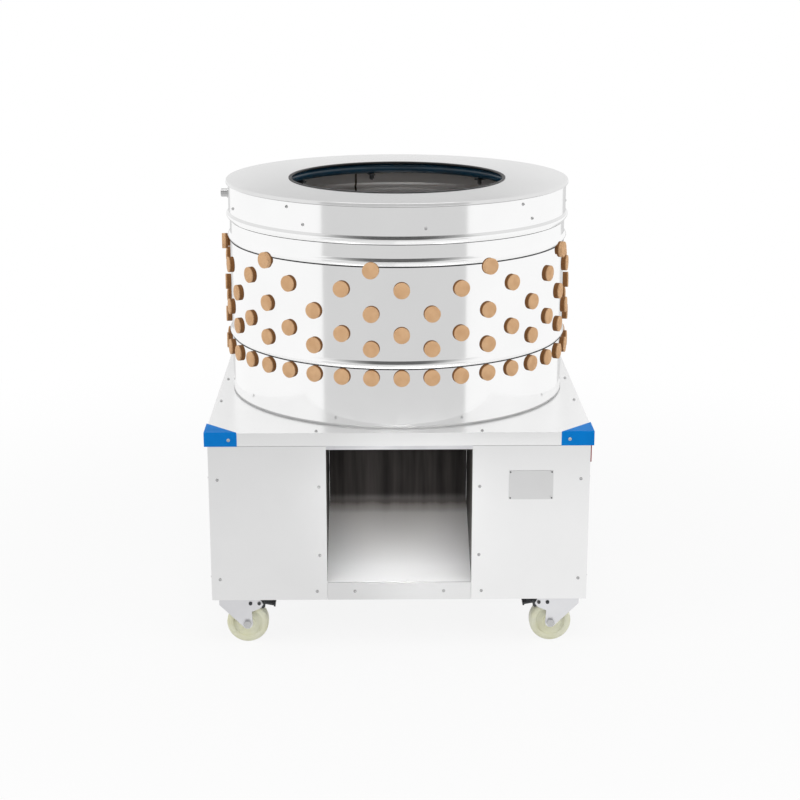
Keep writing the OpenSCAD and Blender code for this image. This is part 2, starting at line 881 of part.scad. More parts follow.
module bearing_beams() {
    wall = 2;
    color(zinc) difference() {
        for (y = [-beam_y, beam_y, rear_beam_y])
            along_x(2 * frame_i) translate([y - beam_w / 2, beam_z]) difference() {
                square(beam_w);
                translate([wall, wall]) square(beam_w - 2 * wall);
            }
        beam_bolts(bolt_r + fit, beam_z - cut, beam_z + wall + cut);
    }
}

module bearing_housing() {
    core_r = bearing_r - 4;
    color("#6d7378") difference() {
        union() {
            translate([0, 0, housing_z]) cylinder(r = housing_r, h = housing_l);
            translate([-flange_half_x, -flange_half_y, beam_z - flange_t])
                cube([2 * flange_half_x, 2 * flange_half_y, flange_t]);
        }
        translate([0, 0, housing_z - cut]) cylinder(r = core_r, h = housing_l + 2 * cut);
        translate([0, 0, housing_z - cut]) cylinder(r = bearing_r, h = bearing_w + cut);
        translate([0, 0, housing_top - seal_h - bearing_w])
            cylinder(r = bearing_r, h = bearing_w + seal_h + cut);
        beam_bolts(bolt_r + fit, beam_z - flange_t - cut, beam_z + cut);
    }
}

module shaft_bearings() {
    color("#8d949a") for (z = [housing_z, housing_top - seal_h - bearing_w])
        ring(shaft_r + run, bearing_r - run, z, z + bearing_w);
}

module shaft_seal() {
    color("#2a2a2c") ring(shaft_r + run, bearing_r - run, housing_top - seal_h, housing_top);
}

module motor_bolt_spots() {
    for (x = [-1, 1], y = [-1, 1])
        translate([x * motor_bolt_r * cos(45), belt_span + y * motor_bolt_r * sin(45), 0]) children();
}

module motor_cradle() {
    front = beam_y - beam_w / 2;
    back = rear_beam_y + beam_w / 2;
    floor_front = belt_span - motor_flange_r;
    color(zinc) difference() {
        union() {
            translate([-cradle_half, floor_front, cradle_z])
                cube([2 * cradle_half, back - floor_front, cradle_t]);
            for (x = [-cradle_half, cradle_half - cradle_t])
                translate([x, front, cradle_z]) cube([cradle_t, back - front, beam_z - cradle_z]);
        }
        translate([0, belt_span, cradle_z]) drill(motor_shaft_r + 8, 4 * cradle_t);
        motor_bolt_spots() translate([0, 0, cradle_z]) drill(bolt_r + fit, 4 * cradle_t);
    }
}

module motor_body() {
    fin_step = 360 / fins_n;
    core = fin_r - fin_h;
    fin_top = motor_top - end_ring;
    fin_turns = [0, 0.15, 0.35, 0.5];
    fin_radii = [core, fin_r, fin_r, core];
    fin_outline = [
        for (i = [0 : fins_n - 1], k = [0 : 3])
            fin_radii[k] * [cos((i + fin_turns[k]) * fin_step), sin((i + fin_turns[k]) * fin_step)]
    ];
    color("#56616b") translate([0, belt_span, 0]) difference() {
        union() {
            translate([0, 0, cradle_top]) cylinder(r = motor_flange_r, h = motor_flange_t);
            translate([0, 0, motor_z]) linear_extrude(fin_top - motor_z) polygon(fin_outline);
            translate([0, 0, fin_top]) cylinder(r = motor_r, h = motor_top - fin_top);
        }
        translate([0, 0, cradle_top - cut]) cylinder(r = motor_shaft_r + run, h = rotor_depth + cut);
        translate([0, -belt_span, 0]) motor_bolt_spots() translate([0, 0, cradle_top])
            drill(bolt_r + fit, 2 * motor_flange_t + 2 * cut);
    }
}

module motor_fan_cowl() {
    vent_r = 4;
    vent_ring = motor_r - 26;
    color("#3f474e") translate([0, belt_span, motor_top]) difference() {
        cylinder(r = motor_r, h = cowl_h);
        translate([0, 0, -cut]) cylinder(r = motor_r - cowl_t, h = cowl_h - cowl_t + cut);
        for (a = [0 : 30 : 330]) rotate(a) translate([vent_ring, 0, cowl_h]) drill(vent_r, 4 * cowl_t);
    }
}

module motor_terminal_box() {
    color("#3f474e") difference() {
        translate([-term_w / 2, belt_span, motor_top - term_drop - term_h])
            cube([term_w, motor_r + term_d, term_h]);
        translate([0, belt_span, motor_top - term_h]) drill(fin_r + fit, 3 * term_h);
    }
}

module drive_bolts() {
    flange_bite = 14;
    color(zinc) {
        for (x = [-1, 1], y = [-1, 1])
            translate([x * flange_bolt_x, y * beam_y, beam_z - flange_t])
                hex_bolt(bolt_r, bolt_head, flange_t + flange_bite);
        motor_bolt_spots() {
            translate([0, 0, cradle_z]) hex_bolt(bolt_r, bolt_head, cradle_t + motor_flange_t + nut_t + cut);
            translate([0, 0, motor_z]) hex_nut(bolt_r, nut_t);
        }
    }
}

// The radius of the groove's floor in a pulley of outside radius r
function groove_floor(r) = r - belt_t + belt_proud - groove_deep;

// Half section of the groove that the belt runs in
module pulley_groove(r) {
    half = belt_w / 2 + groove_side;
    flare = 1;
    polygon([
        [groove_floor(r), -half], [groove_floor(r), half], [r + cut, half + flare], [r + cut, -half - flare]
    ]);
}

module driven_pulley() {
    bore = shaft_r + run;
    rim_in = groove_floor(driven_r) - rim_wall;
    color("#6d7378") translate([0, 0, belt_z]) rotate_extrude() difference() {
        union() {
            translate([rim_in, -pulley_w / 2]) square([driven_r - rim_in, pulley_w]);
            translate([bore, -web_t / 2]) square([rim_in - bore + cut, web_t]);
            translate([bore, -pulley_w / 2]) square([boss_r - bore, pulley_w]);
        }
        pulley_groove(driven_r);
    }
}

module drive_pulley() {
    bore = motor_shaft_r + run;
    color("#6d7378") translate([0, belt_span, belt_z]) rotate_extrude() difference() {
        translate([bore, -pulley_w / 2]) square([drive_r - bore, pulley_w]);
        pulley_groove(drive_r);
    }
}

// Points of an arc about a centre, from one angle to another
function arc(centre, r, from, to, steps) = [
    for (i = [0 : steps]) let (a = from + (to - from) * i / steps) centre + r * [cos(a), sin(a)]
];

// An open belt's line round both pulleys, inset from their outside radii
function belt_line(inset) =
    let (r1 = driven_r - inset, r2 = drive_r - inset, lean = asin((r1 - r2) / belt_span))
    concat(
        arc([0, 0], r1, lean, -180 - lean, belt_steps),
        arc([0, belt_span], r2, 180 - lean, lean, belt_steps)
    );

module v_belt() {
    color("#1d1d1f") translate([0, 0, belt_z - belt_w / 2]) linear_extrude(belt_w) difference() {
        polygon(belt_line(-belt_proud));
        polygon(belt_line(belt_t - belt_proud));
    }
}

// Turntable

module turntable() {
    color(steel) difference() {
        ring(shaft_r + run, plate_r, plate_z, plate_top);
        at_plate_fingers() drill(hole_d / 2, 6 * plate_t);
    }
}

module turntable_fingers() {
    color(rubber) at_plate_fingers() finger(plate_t, run);
}

module sweepers() {
    bottom = deck_z + sweeper_gap;
    length = plate_r - sweeper_end - sweeper_start;
    color("#2f3337") for (i = [0 : sweepers_n - 1]) rotate(i * 360 / sweepers_n)
        translate([sweeper_start, -sweeper_t / 2, bottom]) cube([length, sweeper_t, plate_z - bottom]);
}

module hub() {
    color("#6d7378") ring(shaft_r + run, hub_d / 2, hub_z, plate_z);
}

module main_shaft() {
    thread_top = plate_top + washer_t + nut_h - nut_cap;
    color("#9aa1a7") rotate_extrude() polygon([
        [0, shaft_z], [shaft_r, shaft_z], [shaft_r, plate_top], [thread_d / 2, plate_top],
        [thread_d / 2, thread_top], [0, thread_top]
    ]);
}

module hub_nut() {
    thread_r = thread_d / 2 + run;
    color(zinc) {
        ring(thread_r, hub_d / 4, plate_top, plate_top + washer_t);
        translate([0, 0, plate_top + washer_t]) difference() {
            cylinder(r = nut_r, h = nut_h, $fn = 6);
            translate([0, 0, -cut]) cylinder(r = thread_r, h = nut_h - nut_cap + run + cut);
        }
    }
}

module motor_shaft() {
    bottom = belt_z - pulley_w / 2 - rotor_gap;
    length = cradle_top + rotor_depth - rotor_gap - bottom;
    color("#9aa1a7") translate([0, belt_span, bottom]) cylinder(r = motor_shaft_r, h = length);
}

// Switch and gland

module at_button(side) {
    translate([face, switch_y + side * switch_in / 4, switch_z]) children();
}

module button_block(gap, x0, length) {
    translate([x0, -button_w / 2 - gap, -button_h / 2 - gap])
        cube([length, button_w + 2 * gap, button_h + 2 * gap]);
}

module switch_housing() {
    pocket = button_travel + 2;
    color("#26282b") difference() {
        union() {
            translate([face, switch_y - switch_side / 2, switch_z - switch_side / 2])
                cube([bezel_t, switch_side, switch_side]);
            translate([face - switch_deep, switch_y - switch_in / 2, switch_z - switch_in / 2])
                cube([switch_deep, switch_in, switch_in]);
        }
        for (side = [-1, 1]) at_button(side) button_block(button_gap, -pocket, pocket + bezel_t + cut);
    }
}

module start_button() {
    color("#1f8a4c") at_button(1) button_block(0, 0, button_l);
}

module stop_button() {
    color("#c8242b") at_button(-1) button_block(0, 0, button_l);
}

module cable_gland() {
    nut_y = panel_t + gland_nut_t;
    color("#2b2d30") translate([gland_x, face, gland_z]) facing_back() {
        difference() {
            union() {
                cylinder(r = gland_hex_r, h = gland_out, $fn = 6);
                translate([0, 0, -nut_y - gland_thread_end])
                    cylinder(r = gland_thread_r, h = nut_y + gland_thread_end + cut);
            }
            drill(gland_bore / 2, 6 * gland_out);
        }
        translate([0, 0, -nut_y]) difference() {
            cylinder(r = gland_hex_r + 1, h = gland_nut_t, $fn = 6);
            drill(gland_thread_r + run, 4 * gland_nut_t);
        }
    }
}

// Castors, drawn at the corner at +X, +Y with their trail towards the middle of the base

module at_castor(right, rear) {
    mirror([right ? 0 : 1, 0, 0]) mirror([0, rear ? 0 : 1, 0])
        translate([castor_xy, castor_xy, 0]) mirror([1, 0, 0]) children();
}

// An outline in the castor's (X, Z) plane drawn out along Y, from y0 to y1
module across(y0, y1) {
    translate([0, y1, 0]) rotate([90, 0, 0]) linear_extrude(y1 - y0) children();
}

module cross_pin(x, z, r, half) {
    translate([x, 0, z]) rotate([90, 0, 0]) drill(r, 2 * half);
}

module castor_plates() {
    color(zinc) at_corners() difference() {
        union() {
            translate([castor_xy - plate_side / 2, castor_xy - plate_side / 2, mount_z])
                cube([plate_side, plate_side, mount_t]);
            translate([castor_xy, castor_xy, 0]) {
                translate([0, 0, upper_race_z]) cylinder(r = race_r, h = upper_race_h);
                translate([0, 0, crown_z - swivel_gap])
                    cylinder(r = king_r, h = upper_race_z - crown_z + swivel_gap);
                translate([0, 0, crown_z - swivel_gap - king_head_h])
                    cylinder(r = king_head_r, h = king_head_h);
            }
        }
        castor_holes(mount_z, mount_t);
    }
}

module castor_bolts() {
    head_h = 4;
    color(zinc) at_corners() for (x = [-1, 1], y = [-1, 1])
        translate([castor_xy + x * bolt_pitch / 2, castor_xy + y * bolt_pitch / 2, 0]) {
            translate([0, 0, mount_z]) hex_bolt(bolt_r, head_h, mount_t + pad_t + nut_t + fit);
            translate([0, 0, castor_h + pad_t]) hex_nut(bolt_r, nut_t);
        }
}

module leg_outline(braked) {
    eye = [for (a = [0 : -15 : -150]) [trail + eye_r * cos(a), wheel_r + eye_r * sin(a)]];
    top = crown_z + fork_t;
    polygon(concat(
        [[-leg_half, top], [leg_half, top], [leg_half, wheel_r + leg_shoulder]], eye,
        [[-leg_half, top - leg_shoulder]]
    ));
    if (braked) polygon([
        [leg_half - cut, cheek_top], [pivot_x, min(cheek_top, pivot_z + cheek_edge)],
        [pivot_x + 7, pivot_z - 2], [pivot_x + 2, pivot_z - cheek_edge], [leg_half - cut, pivot_z - 16]
    ]);
}

module fork(braked) {
    axle_half = leg_y + fork_t + run;
    axle_head = 5;
    axle_nut = 6;
    pin_proud = 2;
    color(zinc) {
        difference() {
            union() {
                translate([-leg_half, -leg_y, crown_z]) cube([2 * leg_half, 2 * leg_y, fork_t]);
                translate([0, 0, race_z]) cylinder(r = race_r, h = race_h);
                across(leg_y, leg_y + fork_t) leg_outline(braked);
                across(-leg_y - fork_t, -leg_y) leg_outline(braked);
            }
            translate([0, 0, crown_z]) drill(king_r + run, 40);
            cross_pin(trail, wheel_r, axle_r + run, 2 * leg_y);
            if (braked) cross_pin(pivot_x, pivot_z, pivot_r + run, 2 * leg_y);
        }
        translate([trail, axle_half, wheel_r]) rotate([90, 0, 0])
            hex_bolt(axle_r, axle_head, 2 * axle_half + axle_nut + cut);
        translate([trail, -axle_half, wheel_r]) rotate([90, 0, 0]) hex_nut(axle_r, axle_nut);
        if (braked) cross_pin(pivot_x, pivot_z, pivot_r, leg_y + fork_t + pin_proud);
    }
}

module wheel() {
    half = wheel_w / 2;
    shoulder = 6;
    rim_r = wheel_r - 11;
    dish = 4;
    hub_r = 12;
    tread_steps = 6;
    half_side = concat(
        [
            [axle_r + run, half + hub_side], [hub_r, half + hub_side], [hub_r + 2, half - dish],
            [rim_r - 3, half - dish], [rim_r, half]
        ],
        arc([wheel_r - shoulder, half - shoulder], shoulder, 90, 0, tread_steps)
    );
    color("#efe6bd") translate([trail, 0, wheel_r]) rotate([90, 0, 0]) rotate_extrude()
        polygon(concat(
            half_side, [for (i = [len(half_side) - 1 : -1 : 0]) [half_side[i][0], -half_side[i][1]]]
        ));
}

module pedal() {
    arm_half = wheel_w / 2 + fork_gap - 0.5;
    tread_x = pivot_x + 10;
    end_x = pivot_x + pedal_l;
    droop = 3;
    toe = 5;
    color("#2a2b2e") difference() {
        union() {
            cross_pin(pivot_x, pivot_z, pivot_boss, arm_half);
            across(-arm_half, arm_half) polygon([
                [pivot_x, pivot_z + pedal_t / 2], [tread_x, pivot_z + pedal_t / 2], [tread_x, pivot_z - 8],
                [pivot_x + 4, pivot_z - 12], [pivot_x, pivot_z - 4]
            ]);
            across(-pedal_half, pedal_half) polygon([
                [tread_x - 1, pivot_z + pedal_t / 2], [end_x, pivot_z + pedal_t / 2 - droop],
                [end_x, pivot_z - pedal_t / 2 - toe], [end_x - pedal_t, pivot_z - pedal_t / 2 - toe],
                [end_x - pedal_t, pivot_z - pedal_t / 2 - droop],
                [tread_x - 1, pivot_z - pedal_t / 2]
            ]);
        }
        cross_pin(pivot_x, pivot_z, pivot_r + run, 2 * pedal_half);
        cross_pin(trail, wheel_r, wheel_r + shoe_gap, 2 * pedal_half);
    }
}

module front_left_fork() { at_castor(false, false) fork(true); }
module front_left_wheel() { at_castor(false, false) wheel(); }
module front_left_pedal() { at_castor(false, false) pedal(); }
module front_right_fork() { at_castor(true, false) fork(true); }
module front_right_wheel() { at_castor(true, false) wheel(); }
module front_right_pedal() { at_castor(true, false) pedal(); }
module rear_left_fork() { at_castor(false, true) fork(false); }
module rear_left_wheel() { at_castor(false, true) wheel(); }
module rear_right_fork() { at_castor(true, true) fork(false); }
module rear_right_wheel() { at_castor(true, true) wheel(); }

corner_posts();
frame_rails();
castor_pads();
front_left_panel();
front_right_panel();
left_side_panel();
right_side_panel();
rear_panel();
chute_sill();
chute_scoop();
chute_cheeks();
deck();
corner_guards();
base_screws();
nameplate();
drum_shell();
lower_fingers();
middle_fingers();
upper_fingers();
rim_cover();
rim_trim();
rim_screws();
spray_ring();
spray_clips();
water_inlet();
bearing_beams();
bearing_housing();
shaft_bearings();
shaft_seal();
motor_cradle();
motor_body();
motor_fan_cowl();
motor_terminal_box();
drive_bolts();
v_belt();
switch_housing();
cable_gland();
castor_plates();
castor_bolts();
turntable();
turntable_fingers();
sweepers();
hub();
main_shaft();
hub_nut();
driven_pulley();
motor_shaft();
drive_pulley();
start_button();
stop_button();
front_left_fork();
front_left_wheel();
front_left_pedal();
front_right_fork();
front_right_wheel();
front_right_pedal();
rear_left_fork();
rear_left_wheel();
rear_right_fork();
rear_right_wheel();
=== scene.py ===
# %% [markdown]
# # A drum poultry plucker
# The machine is a sheet-steel box on castors with a discharge chute, and a rubber-fingered drum on top. The
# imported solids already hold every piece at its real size, so this lesson dresses them: turned pieces are
# lathed again with finer curves, pressed and folded pieces get softened edges, fingers and screws are
# scattered by Geometry Nodes, and each finish is built from shader nodes.

# %% Load the frame
import json
import math

import bmesh
import bpy
from mathutils import Matrix, Vector

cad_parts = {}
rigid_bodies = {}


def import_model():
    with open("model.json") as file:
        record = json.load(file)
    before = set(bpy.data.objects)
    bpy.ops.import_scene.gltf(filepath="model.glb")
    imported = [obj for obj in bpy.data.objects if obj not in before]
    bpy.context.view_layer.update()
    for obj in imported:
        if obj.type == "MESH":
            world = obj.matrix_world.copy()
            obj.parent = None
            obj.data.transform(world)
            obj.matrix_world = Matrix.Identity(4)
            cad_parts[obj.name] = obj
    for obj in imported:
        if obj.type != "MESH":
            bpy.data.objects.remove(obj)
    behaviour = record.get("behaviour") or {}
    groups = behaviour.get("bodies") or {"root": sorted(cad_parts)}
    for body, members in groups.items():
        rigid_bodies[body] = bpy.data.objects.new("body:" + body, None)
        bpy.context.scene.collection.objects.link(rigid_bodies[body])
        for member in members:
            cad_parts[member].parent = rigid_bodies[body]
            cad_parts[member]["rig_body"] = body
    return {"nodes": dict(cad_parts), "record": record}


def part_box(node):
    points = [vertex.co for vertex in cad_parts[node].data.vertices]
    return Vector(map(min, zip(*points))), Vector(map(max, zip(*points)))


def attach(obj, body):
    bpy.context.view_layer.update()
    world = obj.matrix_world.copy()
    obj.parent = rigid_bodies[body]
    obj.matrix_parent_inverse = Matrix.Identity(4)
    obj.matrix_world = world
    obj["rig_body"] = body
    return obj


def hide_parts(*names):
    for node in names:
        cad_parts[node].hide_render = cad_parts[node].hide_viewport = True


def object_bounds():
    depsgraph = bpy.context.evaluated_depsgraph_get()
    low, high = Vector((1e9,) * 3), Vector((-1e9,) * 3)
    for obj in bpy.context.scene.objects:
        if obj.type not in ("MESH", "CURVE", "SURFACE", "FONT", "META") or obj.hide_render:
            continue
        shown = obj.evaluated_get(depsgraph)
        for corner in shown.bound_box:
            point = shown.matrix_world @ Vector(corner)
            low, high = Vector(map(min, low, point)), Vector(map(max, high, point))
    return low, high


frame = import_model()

nodes = frame["nodes"]
cad_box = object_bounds()
MM = 0.001

# %% [markdown]
# ## Sizes that the looks share
# Everything is measured on the solids. Only small sizes that a box can't tell, such as how far a rolled bead
# stands out of the wall, are written here, each once.

# %% Measure the solids
BEAD_OUT = 4 * MM
BEAD_WIDTH = 14 * MM
SHEET = 1.5 * MM

deck_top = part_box("deck")[1].z
drum_low, drum_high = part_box("drum_shell")
drum_r = drum_high.x - BEAD_OUT
rim_low, rim_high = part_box("rim_cover")
rim_top = rim_high.z
skirt_r = rim_high.x - BEAD_OUT
trim_low, trim_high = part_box("rim_trim")
print(f"drum radius {drum_r / MM:.1f} mm, deck at {deck_top / MM:.1f} mm, rim at {rim_top / MM:.1f} mm")

# %% [markdown]
# ## Camera
# The photograph was taken a little above the machine, square to its front. The camera stands about 3 m away,
# looks slightly down at the middle of the machine and has a portrait lens, so the deck shows its depth.

# %% Camera
CAMERA_PLACE = (-0.035, -3.011, 1.203)
CAMERA_PITCH = 15.75
CAMERA_YAW = -0.77
CAMERA_LENS = 75.8

camera_data = bpy.data.cameras.new("front camera")
camera_data.lens = CAMERA_LENS
camera_data.sensor_width = 36
camera = bpy.data.objects.new("front camera", camera_data)
camera.location = CAMERA_PLACE
camera.rotation_euler = (math.radians(90 - CAMERA_PITCH), 0, math.radians(CAMERA_YAW))
bpy.context.scene.collection.objects.link(camera)
bpy.context.scene.camera = camera
bpy.context.scene.view_settings.view_transform = "Standard"
print("camera stands", [round(v, 3) for v in camera.location], "with a", CAMERA_LENS, "mm lens")


# %% [markdown]
# ## Shader helpers
# Colours are written as sRGB hex values, the way a paint chart gives them, and one function turns them to the
# linear values that shaders use. Another adds one node with its settings and links, so a finish reads from
# top to bottom.

# %% Shader helpers
def linear(hex_colour):
    """An sRGB hex colour as linear red, green, blue and alpha."""
    parts = [int(hex_colour[i:i + 2], 16) / 255 for i in (1, 3, 5)]
    return [c / 12.92 if c <= 0.04045 else ((c + 0.055) / 1.055) ** 2.4 for c in parts] + [1.0]


def add(tree, kind, inputs=None, **settings):
    """Adds a node of that kind, sets it, and fills its inputs with values or links."""
    made = tree.nodes.new(kind)
    for key, value in settings.items():
        setattr(made, key, value)
    for key, value in (inputs or {}).items():
        if isinstance(value, bpy.types.NodeSocket):
            tree.links.new(value, made.inputs[key])
        else:
            made.inputs[key].default_value = value
    return made


def new_finish(name):
    """An empty material: returns it, its node tree, its Principled shader and its Object coordinates."""
    material = bpy.data.materials.new(name)
    material.use_nodes = True
    tree = material.node_tree
    shader = tree.nodes["Principled BSDF"]
    coordinates = add(tree, "ShaderNodeTexCoord").outputs["Object"]
    return material, tree, shader, coordinates


# %% [markdown]
# ## Metal finishes
# Stainless sheet leaves the mill with fine parallel lines, so a highlight smears across them. Lines of a few
# hundredths of a millimetre would vanish at this distance, so they are drawn coarser, just wide enough to
# show. Broad clouds in the roughness stand for handling and cleaning, which keep a real sheet from looking
# like a mirror. Plated and cast pieces use the same recipe with other lines, clouds and colours.

# %% Metal finishes
CLOUD = 90 * MM


def metal(name, bright, dull, roughness, spread, line, run, bump, turn=(0, 0, 0)):
    """A metal with lines of a real width: line is their pitch, run their length, turn the way they lie."""
    material, tree, shader, coordinates = new_finish(name)
    shader.inputs["Metallic"].default_value = 1.0
    clouds = add(tree, "ShaderNodeTexNoise", {"Vector": coordinates, "Scale": 1 / CLOUD, "Detail": 4.0})
    colour = add(tree, "ShaderNodeValToRGB", {"Fac": clouds.outputs["Fac"]})
    colour.color_ramp.elements[0].position = 0.3
    colour.color_ramp.elements[0].color = linear(dull)
    colour.color_ramp.elements[1].position = 0.7
    colour.color_ramp.elements[1].color = linear(bright)
    gloss = add(tree, "ShaderNodeMapRange", {
        "Value": clouds.outputs["Fac"], "From Min": 0.3, "From Max": 0.7,
        "To Min": roughness - spread, "To Max": roughness + spread})
    turned = add(tree, "ShaderNodeMapping", {
        "Vector": coordinates, "Rotation": turn, "Scale": (1 / run, 1 / run, 1 / line)})
    lines = add(tree, "ShaderNodeTexNoise", {"Vector": turned.outputs["Vector"], "Scale": 1.0, "Detail": 2.0})
    relief = add(tree, "ShaderNodeBump", {
        "Height": lines.outputs["Fac"], "Strength": bump, "Distance": 0.1 * MM})
    tree.links.new(colour.outputs["Color"], shader.inputs["Base Color"])
    tree.links.new(gloss.outputs["Result"], shader.inputs["Roughness"])
    tree.links.new(relief.outputs["Normal"], shader.inputs["Normal"])
    return material


LYING = (math.radians(90), 0, 0)
BRUSHED = (1.2 * MM, 160 * MM, 0.03)

# Satin stainless sheet, rolled and brushed along its width: pale, soft reflections with level lines
satin_sheet = metal("satin stainless sheet", "#f3f3f3", "#f0f0f0", 0.30, 0.02, *BRUSHED)
# The sill strip under the chute is a greyer sheet with the same brush
sill_sheet = metal("greyer satin stainless sheet", "#e8e8e8", "#e5e5e5", 0.30, 0.02, *BRUSHED)
# The same sheet lying flat as the deck and the turntable, with its lines running left to right
flat_sheet = metal("flat satin stainless sheet", "#f9f9f9", "#f6f6f6", 0.24, 0.02, *BRUSHED, LYING)
# Bright rolled stainless: the drum is rolled from polished sheet, so it mirrors the room in soft bands
bright_sheet = metal("bright rolled stainless", "#fafafa", "#f7f7f7", 0.12, 0.02, 1.6 * MM, 240 * MM, 0.02)
# The rim's flat top is brushed by hand, so it is greyer than the wall
rim_sheet = metal("brushed rim stainless", "#e3e3e3", "#dfdfdf", 0.14, 0.01, 1.4 * MM, 120 * MM, 0.012,
                  LYING)
# The drum's inside is scoured by feathers and water, so it only shows a blurred sheen
scoured_sheet = metal("scoured stainless", "#d4d4d4", "#c9c9c9", 0.42, 0.04, 1.6 * MM, 120 * MM, 0.06)
# Plain stainless fasteners: small, turned and a little darker than the sheet
fastener = metal("turned stainless", "#c8c8c8", "#b6b6b6", 0.26, 0.05, 0.6 * MM, 4 * MM, 0.10)
# Bright zinc plate on castors and frame: pale, with a slightly crystalline cloud
zinc_plate = metal("bright zinc plate", "#e8e8ea", "#d8d8db", 0.34, 0.06, 2.0 * MM, 2.5 * MM, 0.10)
# Ground steel of the shafts: rings round the axis and a crisp sheen
ground_steel = metal("ground steel", "#bdbdbf", "#adadaf", 0.22, 0.04, 0.5 * MM, 30 * MM, 0.10)
# The weld keeps a dark heat tint
weld_steel = metal("heat-tinted weld", "#625c57", "#443f3c", 0.50, 0.06, 1.5 * MM, 3 * MM, 0.30)
# Satin aluminium of the blank nameplate
satin_aluminium = metal("satin aluminium", "#e2e2e2", "#dcdcdc", 0.40, 0.03, 0.8 * MM, 50 * MM, 0.06)


def chute_metal(name, start, end, stops):
    """Dull chute sheet with painted light and shade: pale at the sill, painted shade darkening towards the
    back, with vertical streaks in it. stops are (share of the way along Y from start to end, colour) pairs."""
    material, tree, shader, coordinates = new_finish(name)
    shader.inputs["Metallic"].default_value = 0.15
    shader.inputs["Roughness"].default_value = 0.48
    shader.inputs["Specular IOR Level"].default_value = 0.12
    along = add(tree, "ShaderNodeSeparateXYZ", {"Vector": coordinates}).outputs["Y"]
    depth = add(tree, "ShaderNodeMapRange", {"Value": along, "From Min": start, "From Max": end})
    thin = add(tree, "ShaderNodeMapping", {
        "Vector": coordinates, "Scale": (1 / (16 * MM), 1 / (90 * MM), 1 / (240 * MM))})
    streaks = add(tree, "ShaderNodeTexNoise", {"Vector": thin.outputs["Vector"], "Scale": 1.0, "Detail": 3.0})
    veil = add(tree, "ShaderNodeMapRange", {
        "Value": streaks.outputs["Fac"], "From Min": 0.3, "From Max": 0.7, "To Min": 0.985, "To Max": 1.0})
    amount = add(tree, "ShaderNodeMath", {0: depth.outputs["Result"], 1: veil.outputs["Result"]},
                 operation="MULTIPLY")
    ramp = add(tree, "ShaderNodeValToRGB", {"Fac": amount.outputs[0]})
    steps = ramp.color_ramp.elements
    while len(steps) < len(stops):
        steps.new(0.5)
    for step, (place_at, colour) in zip(steps, stops):
        step.position = place_at
        step.color = linear(colour)
    tree.links.new(ramp.outputs["Color"], shader.inputs["Base Color"])
    return material


CHUTE_FRONT = -0.32
CHUTE_BACK = -0.137

# Chute sheet with painted light and shade: pale at the sill, darker from the bend on, nearly black on the back
# wall
chute_painted_shade_sheet = chute_metal("stained chute stainless", CHUTE_FRONT, CHUTE_BACK, (
    (0.0, "#ffffff"), (0.2, "#f6f6f6"), (0.5, "#d8d7d6"), (0.86, "#b2b0ae"), (0.95, "#6c6865"),
    (0.965, "#4a4644"), (1.0, "#120f0e")))
# The chute's cheeks carry painted shade all along
cheek_painted_shade_sheet = chute_metal("stained cheek stainless", CHUTE_FRONT, CHUTE_BACK, (
    (0.0, "#8d8b89"), (0.1, "#6b6866"), (0.5, "#45423f"), (1.0, "#120f0e")))
print("metals:", len([m for m in bpy.data.materials if m.use_nodes]))


# %% [markdown]
# ## Rubber, plastic and paint
# These are not metals: a coloured body under a thin clear skin. Moulded pieces carry the mould's grain as a
# fine bump and mottle a little where the colour is not evenly mixed. Powder coat has a wider orange-peel
# ripple, and cast iron keeps the sand's coarse grain.

# %% Rubber, plastic and paint
def moulded(name, colour, shade, roughness, grain, bump, mottle=25 * MM, coat=0.0, sheen=0.5):
    """A moulded, cast or painted surface: grain is the size of its relief, mottle of its colour clouds."""
    material, tree, shader, coordinates = new_finish(name)
    shader.inputs["Coat Weight"].default_value = coat
    shader.inputs["Specular IOR Level"].default_value = sheen
    shader.inputs["Coat Roughness"].default_value = 0.15
    clouds = add(tree, "ShaderNodeTexNoise", {"Vector": coordinates, "Scale": 1 / mottle, "Detail": 5.0})
    ramp = add(tree, "ShaderNodeValToRGB", {"Fac": clouds.outputs["Fac"]})
    ramp.color_ramp.elements[0].position = 0.32
    ramp.color_ramp.elements[0].color = linear(shade)
    ramp.color_ramp.elements[1].position = 0.62
    ramp.color_ramp.elements[1].color = linear(colour)
    gloss = add(tree, "ShaderNodeMapRange", {
        "Value": clouds.outputs["Fac"], "From Min": 0.3, "From Max": 0.7,
        "To Min": roughness + 0.06, "To Max": roughness - 0.06})
    skin = add(tree, "ShaderNodeTexNoise", {"Vector": coordinates, "Scale": 1 / grain, "Detail": 3.0})
    relief = add(tree, "ShaderNodeBump", {
        "Height": skin.outputs["Fac"], "Strength": bump, "Distance": 0.3 * MM})
    tree.links.new(ramp.outputs["Color"], shader.inputs["Base Color"])
    tree.links.new(gloss.outputs["Result"], shader.inputs["Roughness"])
    tree.links.new(relief.outputs["Normal"], shader.inputs["Normal"])
    return material


def with_painted_shade_inward(material, shade_colour, inner, outer):
    """Mixes a painted shade colour into a finish inside a distance from the drum's axis; it is unshaded from
    outer on.
    """
    tree = material.node_tree
    colour = tree.nodes["Principled BSDF"].inputs["Base Color"]
    unshaded = colour.links[0].from_socket
    spot = add(tree, "ShaderNodeTexCoord").outputs["Object"]
    level = add(tree, "ShaderNodeVectorMath", {0: spot, 1: (1, 1, 0)}, operation="MULTIPLY").outputs["Vector"]
    away = add(tree, "ShaderNodeVectorMath", {0: level}, operation="LENGTH").outputs["Value"]
    share = add(tree, "ShaderNodeMapRange", {"Value": away, "From Min": inner, "From Max": outer})
    mixed = add(tree, "ShaderNodeMix", {"Factor": share.outputs["Result"]}, data_type="RGBA")
    mixed.inputs["A"].default_value = linear(shade_colour)
    tree.links.new(unshaded, mixed.inputs["B"])
    tree.links.new(mixed.outputs["Result"], colour)
    return material


# Tan natural rubber: matt, slightly chalky, with the mould's fine grain
tan_rubber = moulded("tan natural rubber", "#e7bb8e", "#dcae81", 0.70, 1.6 * MM, 0.12, 18 * MM, 0.0, 0.25)
